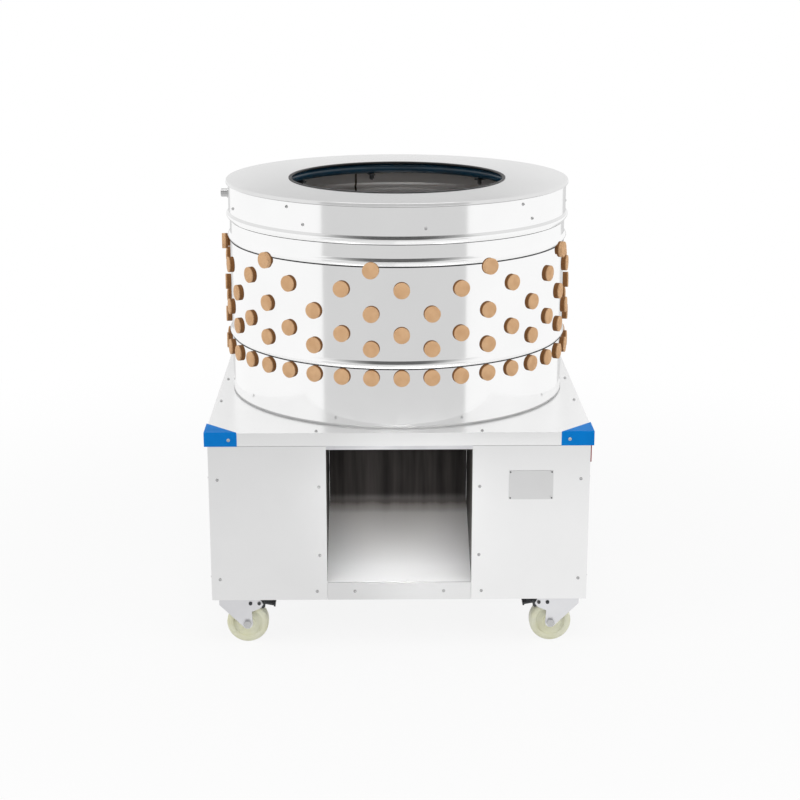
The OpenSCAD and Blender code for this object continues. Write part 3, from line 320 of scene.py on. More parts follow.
# The same rubber on the drum, with painted shade darkening the heads' sides towards the wall
head_rubber = with_painted_shade_inward(moulded("tan rubber with grimed sides", "#e7bb8e", "#dcae81", 0.70, 1.6 * MM, 0.12,
                             18 * MM, 0.0, 0.25), "#85592f", drum_r + 7.5 * MM, drum_r + 9.6 * MM)
# Black extruded rubber of the mouth's edging, also on the strips of painted shade: a dull sheen along its
# length
black_rubber = moulded("black extruded rubber", "#1b1b1d", "#121214", 0.48, 1.2 * MM, 0.12)
# Grey strips of painted shade under the lips of the rim and the deck; a pale sealant round the drum's foot
lip_painted_shade_grey = moulded("grey sealant", "#a8a8a8", "#9d9d9d", 0.5, 2.0 * MM, 0.10)
pale_sealant = moulded("pale sealant", "#cacaca", "#c0c0c0", 0.5, 2.0 * MM, 0.10)
# Dark blue polyethylene tube: smooth, with a waxy highlight
blue_tube = moulded("dark blue polyethylene", "#07374d", "#062c3f", 0.34, 3.0 * MM, 0.04, 40 * MM, 0.2)
# Blue powder coat: an even colour with a gentle orange-peel ripple
powder_blue = moulded("blue powder coat", "#0085de", "#007dd3", 0.45, 2.2 * MM, 0.08, 60 * MM, 0.0, 0.06)
# Cream nylon of the wheels: slightly translucent-looking, waxy and turned smooth
cream_nylon = moulded("cream nylon", "#f1f1d9", "#e9e7c4", 0.38, 2.5 * MM, 0.06, 30 * MM, 0.1)
# Grey cast iron: sand grain and a dull skin
cast_iron = moulded("grey cast iron", "#7b8085", "#666b70", 0.60, 1.4 * MM, 0.45, 12 * MM)
# Grey-blue motor enamel over a casting
motor_enamel = moulded("grey-blue motor enamel", "#5a6670", "#505b65", 0.42, 2.0 * MM, 0.22, 40 * MM, 0.2)
# Black moulded ABS of the switch and the gland
black_abs = moulded("black moulded ABS", "#2a2c2f", "#232528", 0.45, 0.9 * MM, 0.22)
# Coloured ABS caps of the two buttons
green_cap = moulded("green moulded ABS", "#1f9a52", "#1b8d4a", 0.32, 1.5 * MM, 0.05, 20 * MM, 0.3)
# The red is darkened as painted shade, for the shade that the cap sits in
red_cap = moulded("red moulded ABS", "#a82324", "#9a1d1f", 0.32, 1.5 * MM, 0.05, 20 * MM, 0.3)
# Black-coated steel of the pedals, pins, rivets and spray clips: a thin dip coat
black_coat = moulded("black coated steel", "#34373b", "#2a2d30", 0.42, 1.2 * MM, 0.15, 15 * MM, 0.2)
print("finishes:", len(bpy.data.materials))


# %% [markdown]
# ## Mesh helpers
# A turned or rolled piece is a profile swept round an axis. The lathe below builds its rings directly, which
# keeps the faces even and lets the ends close without a pole. A finished piece is linked at the origin,
# rides on the body that carries it, and hides the plain solid that it stands for.

# %% Mesh helpers
def lathe(name, profile, segments, solid_axis=False):
    """A mesh swept round Z from (radius, height) points. The last point joins the first, unless solid_axis
    says that the profile starts and ends on the axis."""
    built = bmesh.new()
    rings = []
    for radius, height in profile:
        if solid_axis and radius < 1e-7:
            rings.append([built.verts.new((0, 0, height))] * segments)
            continue
        ring = []
        for i in range(segments):
            a = 2 * math.pi * i / segments
            ring.append(built.verts.new((radius * math.cos(a), radius * math.sin(a), height)))
        rings.append(ring)
    pairs = list(zip(rings, rings[1:]))
    if not solid_axis:
        pairs.append((rings[-1], rings[0]))
    for lower, upper in pairs:
        for i in range(segments):
            j = (i + 1) % segments
            corners = []
            for v in (lower[i], lower[j], upper[j], upper[i]):
                if v not in corners:
                    corners.append(v)
            built.faces.new(corners)
    bmesh.ops.recalc_face_normals(built, faces=built.faces)
    mesh = bpy.data.meshes.new(name)
    built.to_mesh(mesh)
    built.free()
    return smooth(mesh)


def smooth(mesh, angle=38):
    """Smooth shading, with a crease wherever two faces meet at more than that angle."""
    mesh.polygons.foreach_set("use_smooth", [True] * len(mesh.polygons))
    mesh.set_sharp_from_angle(angle=math.radians(angle))
    return mesh


def evaluated(holder):
    """The holder's mesh with its modifiers applied; the holder is removed."""
    graph = bpy.context.evaluated_depsgraph_get()
    mesh = bpy.data.meshes.new_from_object(holder.evaluated_get(graph), preserve_all_data_layers=True,
                                           depsgraph=graph)
    bpy.data.objects.remove(holder)
    return mesh


def flats_kept(mesh):
    """Normals weighted by area, so that a flat beside a small round still mirrors like a flat."""
    holder = bpy.data.objects.new(mesh.name, mesh)
    bpy.context.scene.collection.objects.link(holder)
    holder.modifiers.new("flats", "WEIGHTED_NORMAL").keep_sharp = True
    return evaluated(holder)


def arc(centre, radius, start, end, steps):
    """Points on an arc in the (radius, height) plane, in degrees from outwards towards up."""
    turns = [math.radians(start + (end - start) * i / steps) for i in range(steps + 1)]
    return [(centre[0] + radius * math.cos(t), centre[1] + radius * math.sin(t)) for t in turns]


def place(name, mesh, finish, body, slot, *stands_for):
    """Links a finished mesh as a piece that rides on a body and stands for CAD nodes."""
    mesh.materials.clear()
    mesh.materials.append(finish)
    piece = bpy.data.objects.new(name, mesh)
    bpy.context.scene.collection.objects.link(piece)
    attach(piece, body)
    if stands_for:
        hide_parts(*stands_for)
    return piece


# %% [markdown]
# ## Drum
# The drum is sheet rolled round and welded, with beads rolled into it for stiffness: two show outside, and
# one under the rim's skirt shows as a groove inside. Its shine shows every facet, so it is lathed afresh
# with fine steps. A bead has two flanks that meet in a rounded crest, so its upper flank mirrors the room's
# top and its lower flank the floor. Under each bead a dark strip stands for the shadow there: painted shade.

# %% Drum
DRUM_SEGMENTS = 288
BEAD_STEPS = 18
CREST = 0.28
LOW_BEAD_RISE = 110 * MM
HIGH_BEAD_RISE = 283 * MM
low_bead = deck_top + LOW_BEAD_RISE
high_bead = deck_top + HIGH_BEAD_RISE
skirt_bead = rim_low.z + BEAD_WIDTH / 2


def rolled_bead(radius, height):
    """A bead's points on a wall of that radius: two nearly flat flanks that meet in a rounded crest."""
    points = []
    full = math.hypot(CREST, 1) - CREST
    for i in range(BEAD_STEPS + 1):
        t = -1 + 2 * i / BEAD_STEPS
        rise = BEAD_OUT * (math.hypot(CREST, 1) - math.hypot(CREST, t)) / full
        points.append((radius + rise, height + t * BEAD_WIDTH / 2))
    return points


def walled(outer, thickness):
    """A closed section: the outer points going up and the inner ones coming down."""
    return outer + [(r - thickness, z) for r, z in reversed(outer)]


drum_outer = [(drum_r, drum_low.z)] + rolled_bead(drum_r, low_bead)
drum_outer += rolled_bead(drum_r, high_bead) + rolled_bead(drum_r, skirt_bead) + [(drum_r, drum_high.z)]
wall_mesh = flats_kept(lathe("drum_wall", walled(drum_outer, SHEET), DRUM_SEGMENTS))
place("drum_wall", wall_mesh, bright_sheet, "base", "drum_steel", "drum_shell")
wall_mesh.materials.append(scoured_sheet)
for face in wall_mesh.polygons:
    inwards = face.normal.x * face.center.x + face.normal.y * face.center.y < 0
    face.material_index = 1 if inwards else 0

STRIP_PROUD = 0.7 * MM
STRIP_SUNK = 0.3 * MM
SHADE_STRIP_LAP = 0.5 * MM
FOOT_SEAL = 3.4 * MM


def shade_or_seal_strip(name, radius, top, height, finish=black_rubber):
    """A thin strip on a wall: dark painted shade under a bead or a lip, or a real sealant round the drum's
    foot.
    """
    outer = arc((radius, top - height / 2), height / 2, -90, 90, 6)
    profile = [(radius + STRIP_PROUD * (r - radius) / (height / 2), z) for r, z in outer]
    profile += [(radius - STRIP_SUNK, top), (radius - STRIP_SUNK, top - height)]
    return place(name, lathe(name, profile, DRUM_SEGMENTS), finish, "base", "seal_rubber")


# Dark strips of painted shade under the two beads
shade_or_seal_strip("low_bead_seal", drum_r, low_bead - BEAD_WIDTH / 2 + SHADE_STRIP_LAP, 2.2 * MM)
shade_or_seal_strip("high_bead_seal", drum_r, high_bead - BEAD_WIDTH / 2 + SHADE_STRIP_LAP, 2.5 * MM)
shade_or_seal_strip("drum_foot_seal", drum_r, deck_top + FOOT_SEAL, FOOT_SEAL, pale_sealant)
print("drum:", DRUM_SEGMENTS, "segments, beads at", round(low_bead, 4), round(high_bead, 4))

# %% [markdown]
# ## Rim cover, edging and spray ring
# The rim is a pressed ring that drops over the drum: a flat top, a folded lip, a skirt and a bead at the
# skirt's foot. A rubber edging grips the mouth, and the spray ring hangs under it.

# %% Rim cover
LIP_HEIGHT = 6 * MM
LIP_ROUND = 1.6 * MM
lip_r = rim_high.x


def least_radius(node):
    """The distance from the drum's axis to a CAD node's nearest point."""
    return min(v.co.xy.length for v in nodes[node].data.vertices)


mouth_r = least_radius("rim_cover")
bulge = rolled_bead(skirt_r, skirt_bead)
lip = arc((lip_r - LIP_ROUND, rim_top - LIP_HEIGHT + LIP_ROUND), LIP_ROUND, -90, 0, 5)
lip += arc((lip_r - LIP_ROUND, rim_top - LIP_ROUND), LIP_ROUND, 0, 90, 5)
rim_profile = bulge + [(skirt_r, rim_top - LIP_HEIGHT)] + lip
rim_profile += [(mouth_r, rim_top), (mouth_r, rim_top - SHEET), (skirt_r - SHEET, rim_top - SHEET)]
rim_profile += [(r - SHEET, z) for r, z in reversed(bulge)]
rim_mesh = flats_kept(lathe("rim_pressing", rim_profile, DRUM_SEGMENTS))
place("rim_pressing", rim_mesh, bright_sheet, "base", "drum_steel", "rim_cover")
rim_mesh.materials.append(rim_sheet)
for face in rim_mesh.polygons:
    upper = face.center.z > rim_top - LIP_HEIGHT - 0.1 * MM
    face.material_index = 1 if upper and face.center.xy.length > skirt_r or face.normal.z > 0.5 else 0
# A dark strip of painted shade under the skirt's bead
shade_or_seal_strip("skirt_seal", drum_r, rim_low.z + SHADE_STRIP_LAP, 2.0 * MM)
# A grey strip of painted shade under the rim's lip
shade_or_seal_strip("lip_seal", skirt_r, rim_top - LIP_HEIGHT, 1.2 * MM, lip_painted_shade_grey)

# %% Edging and spray ring
EDGE_ROUND = 0.6 * MM
SLOT = 0.1 * MM
nose_r = (trim_high.z - trim_low.z) / 2
lips = trim_high.x - EDGE_ROUND

edging = [(trim_high.x, rim_top + SLOT)]
edging += arc((lips, trim_high.z - EDGE_ROUND), EDGE_ROUND, 0, 90, 4)
edging += arc((least_radius("rim_trim") + nose_r, trim_low.z + nose_r), nose_r, 90, 270, 10)
edging += arc((lips, trim_low.z + EDGE_ROUND), EDGE_ROUND, 270, 360, 4)
edging += [(trim_high.x, rim_top - SHEET - SLOT), (mouth_r - SLOT, rim_top - SHEET - SLOT)]
edging += [(mouth_r - SLOT, rim_top + SLOT)]
place("mouth_edging", lathe("mouth_edging", edging, DRUM_SEGMENTS), black_rubber,
      "base", "trim_rubber", "rim_trim")

tube_low, tube_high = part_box("spray_ring")
tube_r = (tube_high.z - tube_low.z) / 2
tube = arc((tube_high.x - tube_r, tube_low.z + tube_r), tube_r, 0, 345, 23)
place("spray_pipe", lathe("spray_pipe", tube, 192), blue_tube, "base", "spray_tube", "spray_ring")
print(f"rim: lip radius {lip_r / MM:.1f} mm, mouth {mouth_r / MM:.1f} mm, tube {tube_r / MM:.1f} mm")

# %% [markdown]
# ## Drum weld
# The rolled sheet is closed by one upright weld, ground bright outside and left dark inside. It follows the
# wall over its beads, between two columns of fingers.

# %% Drum weld
WELD_ANGLE = math.radians(-165)
WELD_ACROSS = ((-2.2, 0), (-0.9, 0.45), (0.9, 0.45), (2.2, 0))

out = Vector((math.sin(WELD_ANGLE), -math.cos(WELD_ANGLE), 0))
along = Vector((-out.y, out.x, 0))
weld_points = []
weld_faces = []
for side, offset in ((1, 0), (-1, SHEET)):
    for radius, height in drum_outer:
        for across, proud in WELD_ACROSS:
            reach = radius - offset + side * (proud - 0.05) * MM
            weld_points.append(out * reach + along * across * MM + Vector((0, 0, height)))
width = len(WELD_ACROSS)
for first in (0, len(drum_outer) * width):
    for row in range(len(drum_outer) - 1):
        for k in range(width - 1):
            corner = first + row * width + k
            weld_faces.append((corner, corner + 1, corner + width + 1, corner + width))
weld_mesh = bpy.data.meshes.new("drum_weld")
weld_mesh.from_pydata(weld_points, [], weld_faces)
place("drum_weld", smooth(weld_mesh, 60), weld_steel, "base", "drum_steel")
weld_mesh.materials.append(satin_sheet)
for face in weld_mesh.polygons[:len(weld_faces) // 2]:
    face.material_index = 1
print("weld:", len(weld_faces), "faces")

# %% [markdown]
# ## Pieces at places
# Fingers and screws repeat all over the machine. One Geometry Nodes tree puts copies of a pattern on measured
# points: each point carries the direction that the pattern's +Z faces, and a seeded turn about that direction
# keeps rubber and screw slots from lining up like copies.

# %% Pieces at places
scatter_tree = bpy.data.node_groups.new("pieces at places", "GeometryNodeTree")
scatter_inputs = {}
for label, kind in (("Geometry", "Geometry"), ("Piece", "Object"), ("Finish", "Material"),
                    ("Sway", "Float"), ("Seed", "Int")):
    made = scatter_tree.interface.new_socket(label, in_out="INPUT", socket_type="NodeSocket" + kind)
    scatter_inputs[label] = made.identifier
scatter_tree.interface.new_socket("Geometry", in_out="OUTPUT", socket_type="NodeSocketGeometry")

given = add(scatter_tree, "NodeGroupInput").outputs
facing = add(scatter_tree, "GeometryNodeInputNamedAttribute", {"Name": "facing"}, data_type="FLOAT_VECTOR")
faced = add(scatter_tree, "FunctionNodeEulerToRotation", {"Euler": facing.outputs["Attribute"]})
most = add(scatter_tree, "ShaderNodeCombineXYZ", {
    "X": given["Sway"], "Y": given["Sway"], "Z": math.pi})
least = add(scatter_tree, "ShaderNodeVectorMath", {0: most.outputs["Vector"], "Scale": -1.0},
            operation="SCALE")
chance = add(scatter_tree, "FunctionNodeRandomValue", {
    "Min": least.outputs["Vector"], "Max": most.outputs["Vector"], "Seed": given["Seed"]},
    data_type="FLOAT_VECTOR")
lean = add(scatter_tree, "FunctionNodeEulerToRotation", {"Euler": chance.outputs["Value"]})
turned = add(scatter_tree, "FunctionNodeRotateRotation", {
    "Rotation": faced.outputs["Rotation"], "Rotate By": lean.outputs["Rotation"]}, rotation_space="LOCAL")
pattern = add(scatter_tree, "GeometryNodeObjectInfo", {"Object": given["Piece"], "As Instance": True})
copies = add(scatter_tree, "GeometryNodeInstanceOnPoints", {
    "Points": given["Geometry"], "Instance": pattern.outputs["Geometry"],
    "Rotation": turned.outputs["Rotation"]})
real = add(scatter_tree, "GeometryNodeRealizeInstances", {"Geometry": copies.outputs["Instances"]})
coated = add(scatter_tree, "GeometryNodeSetMaterial", {
    "Geometry": real.outputs["Geometry"], "Material": given["Finish"]})
add(scatter_tree, "NodeGroupOutput", {"Geometry": coated.outputs["Geometry"]})


def scatter(name, pattern_mesh, places, finish, sway=0.0, seed=1):
    """Copies of a pattern at (point, direction) places, as one mesh. sway is the most that a copy leans, in
    degrees."""
    points = bpy.data.meshes.new(name + " places")
    points.from_pydata([point for point, _ in places], [], [])
    turns = points.attributes.new("facing", "FLOAT_VECTOR", "POINT")
    for entry, (_, direction) in zip(turns.data, places):
        entry.vector = direction.to_track_quat("Z", "Y").to_euler()
    pattern_object = bpy.data.objects.new(name + " pattern", pattern_mesh)
    holder = bpy.data.objects.new(name + " places", points)
    for made in (pattern_object, holder):
        bpy.context.scene.collection.objects.link(made)
    modifier = holder.modifiers.new("pieces at places", "NODES")
    modifier.node_group = scatter_tree
    values = {"Piece": pattern_object, "Finish": finish, "Sway": math.radians(sway), "Seed": seed}
    for label, value in values.items():
        modifier[scatter_inputs[label]] = value
    holder.update_tag()
    mesh = evaluated(holder)
    bpy.data.objects.remove(pattern_object)
    mesh.name = name
    print(f"{name}: {len(places)} copies, {len(mesh.polygons)} faces")
    return mesh


def solids_of(node):
    """The corner points of each separate solid in a CAD node."""
    built = bmesh.new()
    built.from_mesh(nodes[node].data)
    bmesh.ops.remove_doubles(built, verts=built.verts, dist=1e-6)
    left = dict.fromkeys(built.verts)  # a set's order would change from run to run
    solids = []
    while left:
        found = [left.popitem()[0]]
        for v in found:
            for e in v.link_edges:
                other = e.other_vert(v)
                if other in left:
                    del left[other]
                    found.append(other)
        solids.append([v.co.copy() for v in found])
    built.free()
    return solids


def middle(points):
    """The mean of some points."""
    return sum(points, Vector()) / len(points)


# %% [markdown]
# ## Plucking fingers
# A finger is one rubber moulding: a thick head outside the wall, a waist that snaps into the hole, and a
# tapering shaft with grip ribs. The drum's fingers point inwards and the turntable's point up. The photograph
# shows no fingers mirrored in the wall, so the drum's are kept out of the mirrors.

# %% Finger pattern
HEAD = 10.5 * MM
HEAD_R = 13.75 * MM
WAIST_R = 9.6 * MM
ROOT_R = 11.5 * MM
TIP_R = 6 * MM
FINGER = 79 * MM
SEAT = 0.35 * MM
HEAD_ROUND = 0.9 * MM
ROOT_RUN = 8 * MM
TIP_RUN = 6 * MM
RIBS = 6
GROOVE = 0.9 * MM


def finger_pattern(name, sheet, stand):
    """A finger through a sheet whose outer face is z = 0, its head standing out along +Z."""
    top = stand + HEAD
    seat = -sheet - SEAT
    tip = seat - FINGER
    profile = [(0, top), (HEAD_R - HEAD_ROUND, top), (HEAD_R - 0.25 * MM, top - 0.25 * MM)]
    profile += [(HEAD_R, top - HEAD_ROUND), (HEAD_R, stand + 0.8 * MM)]
    profile += [(HEAD_R - 0.8 * MM, stand), (WAIST_R, stand), (WAIST_R, seat), (ROOT_R, seat)]
    profile += [(ROOT_R, seat - ROOT_RUN)]
    run = FINGER - ROOT_RUN - TIP_RUN
    for k in range(RIBS):
        for part, groove in ((0.25, 0), (0.45, GROOVE), (0.8, GROOVE), (1.0, 0)):
            share = (k + part) / RIBS
            profile.append((ROOT_R + (TIP_R - ROOT_R) * share - groove, seat - ROOT_RUN - run * share))
    profile += [(TIP_R * 0.8, tip + 1.6 * MM), (TIP_R * 0.4, tip + 0.3 * MM), (0, tip)]
    return lathe(name, profile, 24, solid_axis=True)


flush_finger = finger_pattern("flush finger", SHEET, 0)

# %% Fingers on the drum
TOP_STAND = 4.3 * MM
FINGER_SWAY = 0.6
standing_finger = finger_pattern("standing finger", SHEET, TOP_STAND)


def wall_places(node):
    """Places on the drum's wall: those with the head on the wall, and those that stand off a bead."""
    flush, standing = [], []
    for points in solids_of(node):
        centre = middle(points)
        outwards = Vector((centre.x, centre.y, 0)).normalized()
        end = max(p.dot(outwards) for p in points)
        place_at = outwards * drum_r + Vector((0, 0, centre.z))
        (standing if end > drum_r + HEAD + 1 * MM else flush).append((place_at, outwards))
    return flush, standing


for number, node in enumerate(("lower_fingers", "middle_fingers", "upper_fingers")):
    flush, standing = wall_places(node)
    mesh = scatter(node + "_rubber", flush_finger, flush, head_rubber, FINGER_SWAY, number + 1)
    if standing:
        joined = bmesh.new()
        joined.from_mesh(mesh)
        joined.from_mesh(scatter(node + "_standing", standing_finger, standing, head_rubber, FINGER_SWAY, 9))
        joined.to_mesh(mesh)
        joined.free()
    heads = place(node + "_rubber", smooth(mesh), head_rubber, "base", "finger_rubber", node)
    heads.visible_glossy = False

# %% Fingers on the turntable
PLATE = 3 * MM
PLATE_SWAY = 0.8
plate_finger = finger_pattern("plate finger", PLATE, 0)
plate_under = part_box("turntable")[0].z
upright = []
for points in solids_of("turntable_fingers"):
    centre = middle(points)
    upright.append((Vector((centre.x, centre.y, plate_under)), Vector((0, 0, -1))))
mesh = scatter("turntable_rubber", plate_finger, upright, tan_rubber, PLATE_SWAY, 4)
place("turntable_rubber", smooth(mesh), tan_rubber, "plate", "finger_rubber", "turntable_fingers")

# %% [markdown]
# ## Screws
# Every panel, guard and rim screw is a low button head with a small socket. The solids tell where each one
# sits and which way it faces.

# %% Screws
SCREW_R = 2.9 * MM
SCREW_HEAD = 2.2 * MM
SOCKET_R = 1.4 * MM
dome = arc((0, -0.9 * MM), 3.15 * MM, 24, 62, 4)
screw_profile = [(0, -1 * MM), (2 * MM, -1 * MM), (2 * MM, 0), (SCREW_R, 0), (SCREW_R, 0.25 * MM)] + dome
screw_profile += [(SOCKET_R, SCREW_HEAD), (SOCKET_R, SCREW_HEAD - 1.1 * MM), (0, SCREW_HEAD - 1.3 * MM)]
button_head = lathe("button head", screw_profile, 12, solid_axis=True)


def screw_places(node, direction_of):
    """Where each screw's head sits, and the way that it faces."""
    places = []
    for points in solids_of(node):
        centre = middle(points)
        direction = direction_of(centre)
        end = max(p.dot(direction) for p in points)
        places.append((centre + direction * (end - SCREW_HEAD - centre.dot(direction)), direction))
    return places


def out_of_base(centre):
    """The side of the base that a screw is in: the deck's top, or the panel that it is furthest out on."""
    if centre.z > deck_top - 2 * MM:
        return Vector((0, 0, 1))
    if abs(centre.x) > abs(centre.y):
        return Vector((math.copysign(1, centre.x), 0, 0))
    return Vector((0, math.copysign(1, centre.y), 0))


def out_of_drum(centre):
    """Straight out from the drum's axis."""
    return Vector((centre.x, centre.y, 0)).normalized()


for node, way in (("base_screws", out_of_base), ("rim_screws", out_of_drum)):
    mesh = scatter(node + "_heads", button_head, screw_places(node, way), fastener, 0, 7)
    place(node + "_heads", smooth(mesh, 50), fastener, "base", "screw_steel", node)

# %% [markdown]
# ## Clip nuts
# A nut on a short stud hangs under each spray clip and ties the tube to it.

# %% Clip nuts
NUT_R = 4.2 * MM
NUT_HIGH = 7 * MM
STUD_R = 2.4 * MM
nut_profile = [(0, 0), (NUT_R, 0), (NUT_R, NUT_HIGH), (STUD_R, NUT_HIGH), (STUD_R, NUT_HIGH + 2 * MM)]
nut = lathe("clip nut", nut_profile + [(0, NUT_HIGH + 2 * MM)], 6, solid_axis=True)
nut_places = []
for points in solids_of("spray_clips"):
    way = out_of_drum(middle(points))
    below = way * (tube_high.x - tube_r) + Vector((0, 0, min(p.z for p in points)))
    nut_places.append((below, Vector((0, 0, -1))))
place("clip_nuts", smooth(scatter("clip_nuts", nut, nut_places, black_coat, 0, 3)), black_coat,
      "base", "clip_steel")

# %% [markdown]
# ## Nameplate rivets
# The blank nameplate is held by a small blind rivet in each corner.

# %% Nameplate rivets
RIVET_R = 1.3 * MM
RIVET_INSET = 2.6 * MM
rivet_profile = [(0, -0.3 * MM), (RIVET_R, -0.3 * MM)] + arc((0, 0), RIVET_R, 0, 80, 4) + [(0, RIVET_R)]
rivet = lathe("blind rivet", [(r, min(z, 0.8 * MM)) for r, z in rivet_profile], 16, solid_axis=True)
plate_low, plate_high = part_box("nameplate")
rivet_places = [(Vector((x, plate_low.y, z)), Vector((0, -1, 0)))
                for x in (plate_low.x + RIVET_INSET, plate_high.x - RIVET_INSET)
                for z in (plate_low.z + RIVET_INSET, plate_high.z - RIVET_INSET)]
place("nameplate_rivets", smooth(scatter("nameplate_rivets", rivet, rivet_places, black_coat)), black_coat,
      "base", "clip_steel")
print("rivets:", len(rivet_places))

# %% [markdown]
# ## Brake pins
# Two black rivets show on each cheek of a front fork: the pedal's pivot, and a stop pin beside it.

# %% Brake pins
PIN_R = 3.2 * MM
PIN_HIGH = 2.6 * MM
PIN_STEP = 15 * MM
FORK_HALF = 17.5 * MM
PEDAL_BOSS = 5 * MM
pin_profile = [(0, 0), (PIN_R, 0), (PIN_R, 0.6 * PIN_HIGH), (0.7 * PIN_R, PIN_HIGH), (0, PIN_HIGH)]
pin_head = lathe("pin head", pin_profile, 24, solid_axis=True)


def axle_of(corner):
    """The middle of a castor's wheel."""
    low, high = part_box(corner + "_wheel")
    return (low + high) / 2


for corner, heel, inward in (("front_left", 0, 1), ("front_right", 1, -1)):
    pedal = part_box(corner + "_pedal")
    pivot = Vector((pedal[heel].x + inward * PEDAL_BOSS, axle_of(corner).y, pedal[1].z - PEDAL_BOSS))
    pin_places = [(pivot + Vector((-inward * step, side * FORK_HALF, 0)), Vector((0, side, 0)))
                  for step in (0, PIN_STEP) for side in (-1, 1)]
    place(corner + "_pins", smooth(scatter(corner + "_pins", pin_head, pin_places, black_coat)), black_coat,
          nodes[corner + "_fork"]["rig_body"], "pedal_steel")
print("brake pins:", len(pin_places), "on each front fork")

# %% [markdown]
# ## Painted shade under the deck's lip
# Where the deck's turned-down lip ends, a thin grey run of painted shade marks the step to each panel.

# %% Painted shade under the deck's lip
RUN_HIGH = 1.3 * MM
RUN_PROUD = 0.5 * MM

run_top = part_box("deck")[0].z
runs = bmesh.new()
for panel, axis, outer in (("front_left_panel", 1, 0), ("front_right_panel", 1, 0), ("rear_panel", 1, 1),
                           ("left_side_panel", 0, 0), ("right_side_panel", 0, 1)):
    ends = [Vector(end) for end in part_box(panel)]
    face = ends[outer][axis]
    ends[0][axis], ends[1][axis] = face - RUN_PROUD, face + RUN_PROUD
    ends[0].z, ends[1].z = run_top - RUN_HIGH, run_top
    shape = Matrix.Diagonal((ends[1] - ends[0]).to_4d())
    bmesh.ops.create_cube(runs, size=1, matrix=Matrix.Translation((ends[0] + ends[1]) / 2) @ shape)
run_mesh = bpy.data.meshes.new("lip_sealant")
runs.to_mesh(run_mesh)
runs.free()
place("lip_sealant", run_mesh, lip_painted_shade_grey, "base", "seal_rubber")
print("deck lip shade lines at", round(run_top, 4))

# %% [markdown]
# ## Wheels
# The castor wheels are nylon mouldings with rounded treads and dished faces round a hub. Each one is lathed
# about its own axle, from millimetre pairs of radius and height over the wheel's side.

# %% Wheels
WHEEL_PARTS = ((5.9, 1.0), (9.5, 1.15), (11.5, 0.7), (13.0, -3.2), (15.0, -4.0), (21.0, -4.0), (23.5, -3.0),
               (24.8, -0.6), (26.0, 0.0), (30.0, 0.0))
CORNERS = ("front_left", "front_right", "rear_left", "rear_right")
TREAD_ROUND = 6 * MM
WHEEL_HALF = 13 * MM
for corner in CORNERS:
    low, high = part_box(corner + "_wheel")
    wheel_r = (high.z - low.z) / 2
    side = [(r * MM, WHEEL_HALF + z * MM) for r, z in WHEEL_PARTS]
    side += arc((wheel_r - TREAD_ROUND, WHEEL_HALF - TREAD_ROUND), TREAD_ROUND, 80, 0, 7)
    wheel = lathe(corner + "_tyre", side + [(r, -z) for r, z in reversed(side)], 72)
    wheel.transform(Matrix.Translation(axle_of(corner)) @ Matrix.Rotation(math.radians(90), 4, "X"))
    place(corner + "_nylon", smooth(wheel), cream_nylon, corner + "_wheel", "wheel_nylon", corner + "_wheel")
print("wheels: radius", round(wheel_r, 4))

# %% [markdown]
# ## Folded, cut and cast pieces
# Cut sheet and castings never have knife edges: a small round on every corner catches a thin line of light.
# Each solid is cleaned of its triangles, its sharp edges are rounded by a real width, and its normals are
# weighted so that the flats stay flat.

# %% Softened edges
SHARP = math.radians(40)
FLAT = math.radians(0.5)


def softened(node, width):
    """A copy of a CAD node with its sharp edges rounded by that width."""
    built = bmesh.new()
    built.from_mesh(nodes[node].data)
    bmesh.ops.remove_doubles(built, verts=built.verts, dist=1e-6)
    bmesh.ops.dissolve_limit(built, angle_limit=FLAT, verts=built.verts, edges=built.edges)
    edges = [e for e in built.edges if len(e.link_faces) == 2 and e.calc_face_angle(0) > SHARP
             and e.calc_length() > 2 * width]
    bmesh.ops.bevel(built, geom=edges, offset=width, offset_type="OFFSET", segments=2, profile=0.5,
                    affect="EDGES", clamp_overlap=True)
    mesh = bpy.data.meshes.new(node + "_soft")
    built.to_mesh(mesh)
    built.free()
    return flats_kept(smooth(mesh))


slot_of = {part["node"]: part["material_slot"] for part in frame["record"]["subparts"]}
DRESS = (
    (satin_sheet, 0.5, "front_left_panel front_right_panel left_side_panel right_side_panel rear_panel"),
    (sill_sheet, 0.4, "chute_sill"),
    (flat_sheet, 0.7, "deck"),
    (flat_sheet, 0.5, "turntable"),
    (chute_painted_shade_sheet, 0.4, "chute_scoop"),
    (cheek_painted_shade_sheet, 0.4, "chute_cheeks"),
    (powder_blue, 0.8, "corner_guards"),
    (satin_aluminium, 0.3, "nameplate"),
    (zinc_plate, 0.5, "corner_posts frame_rails castor_pads bearing_beams motor_cradle castor_plates"),
    (zinc_plate, 0.6, "front_left_fork front_right_fork rear_left_fork rear_right_fork"),
    (fastener, 0.3, "drive_bolts castor_bolts hub_nut water_inlet"),
    (cast_iron, 0.8, "bearing_housing hub driven_pulley drive_pulley"),
    (ground_steel, 0.5, "shaft_bearings main_shaft motor_shaft"),
    (motor_enamel, 0.8, "motor_body motor_fan_cowl motor_terminal_box"),
    (black_rubber, 0.5, "v_belt shaft_seal sweepers"),
    (black_coat, 0.4, "spray_clips front_left_pedal front_right_pedal"),
    (black_abs, 0.8, "switch_housing cable_gland"),
    (green_cap, 1.0, "start_button"),
    (red_cap, 1.0, "stop_button"),
)
for finish, width, names in DRESS:
    for node in names.split():
        place(node + "_soft", softened(node, width * MM), finish, nodes[node]["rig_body"], slot_of[node], node)
bpy.data.objects["corner_guards_soft"].visible_glossy = False

# The axle bolts stand out of the forks' cheeks in turned steel
for corner in CORNERS:
    fork = bpy.data.objects[corner + "_fork_soft"].data
    fork.materials.append(fastener)
    middle_y = axle_of(corner).y
    for face in fork.polygons:
        face.material_index = 1 if abs(face.center.y - middle_y) > FORK_HALF + 0.1 * MM else 0
print("softened:", sum(len(names.split()) for _, _, names in DRESS), "nodes")

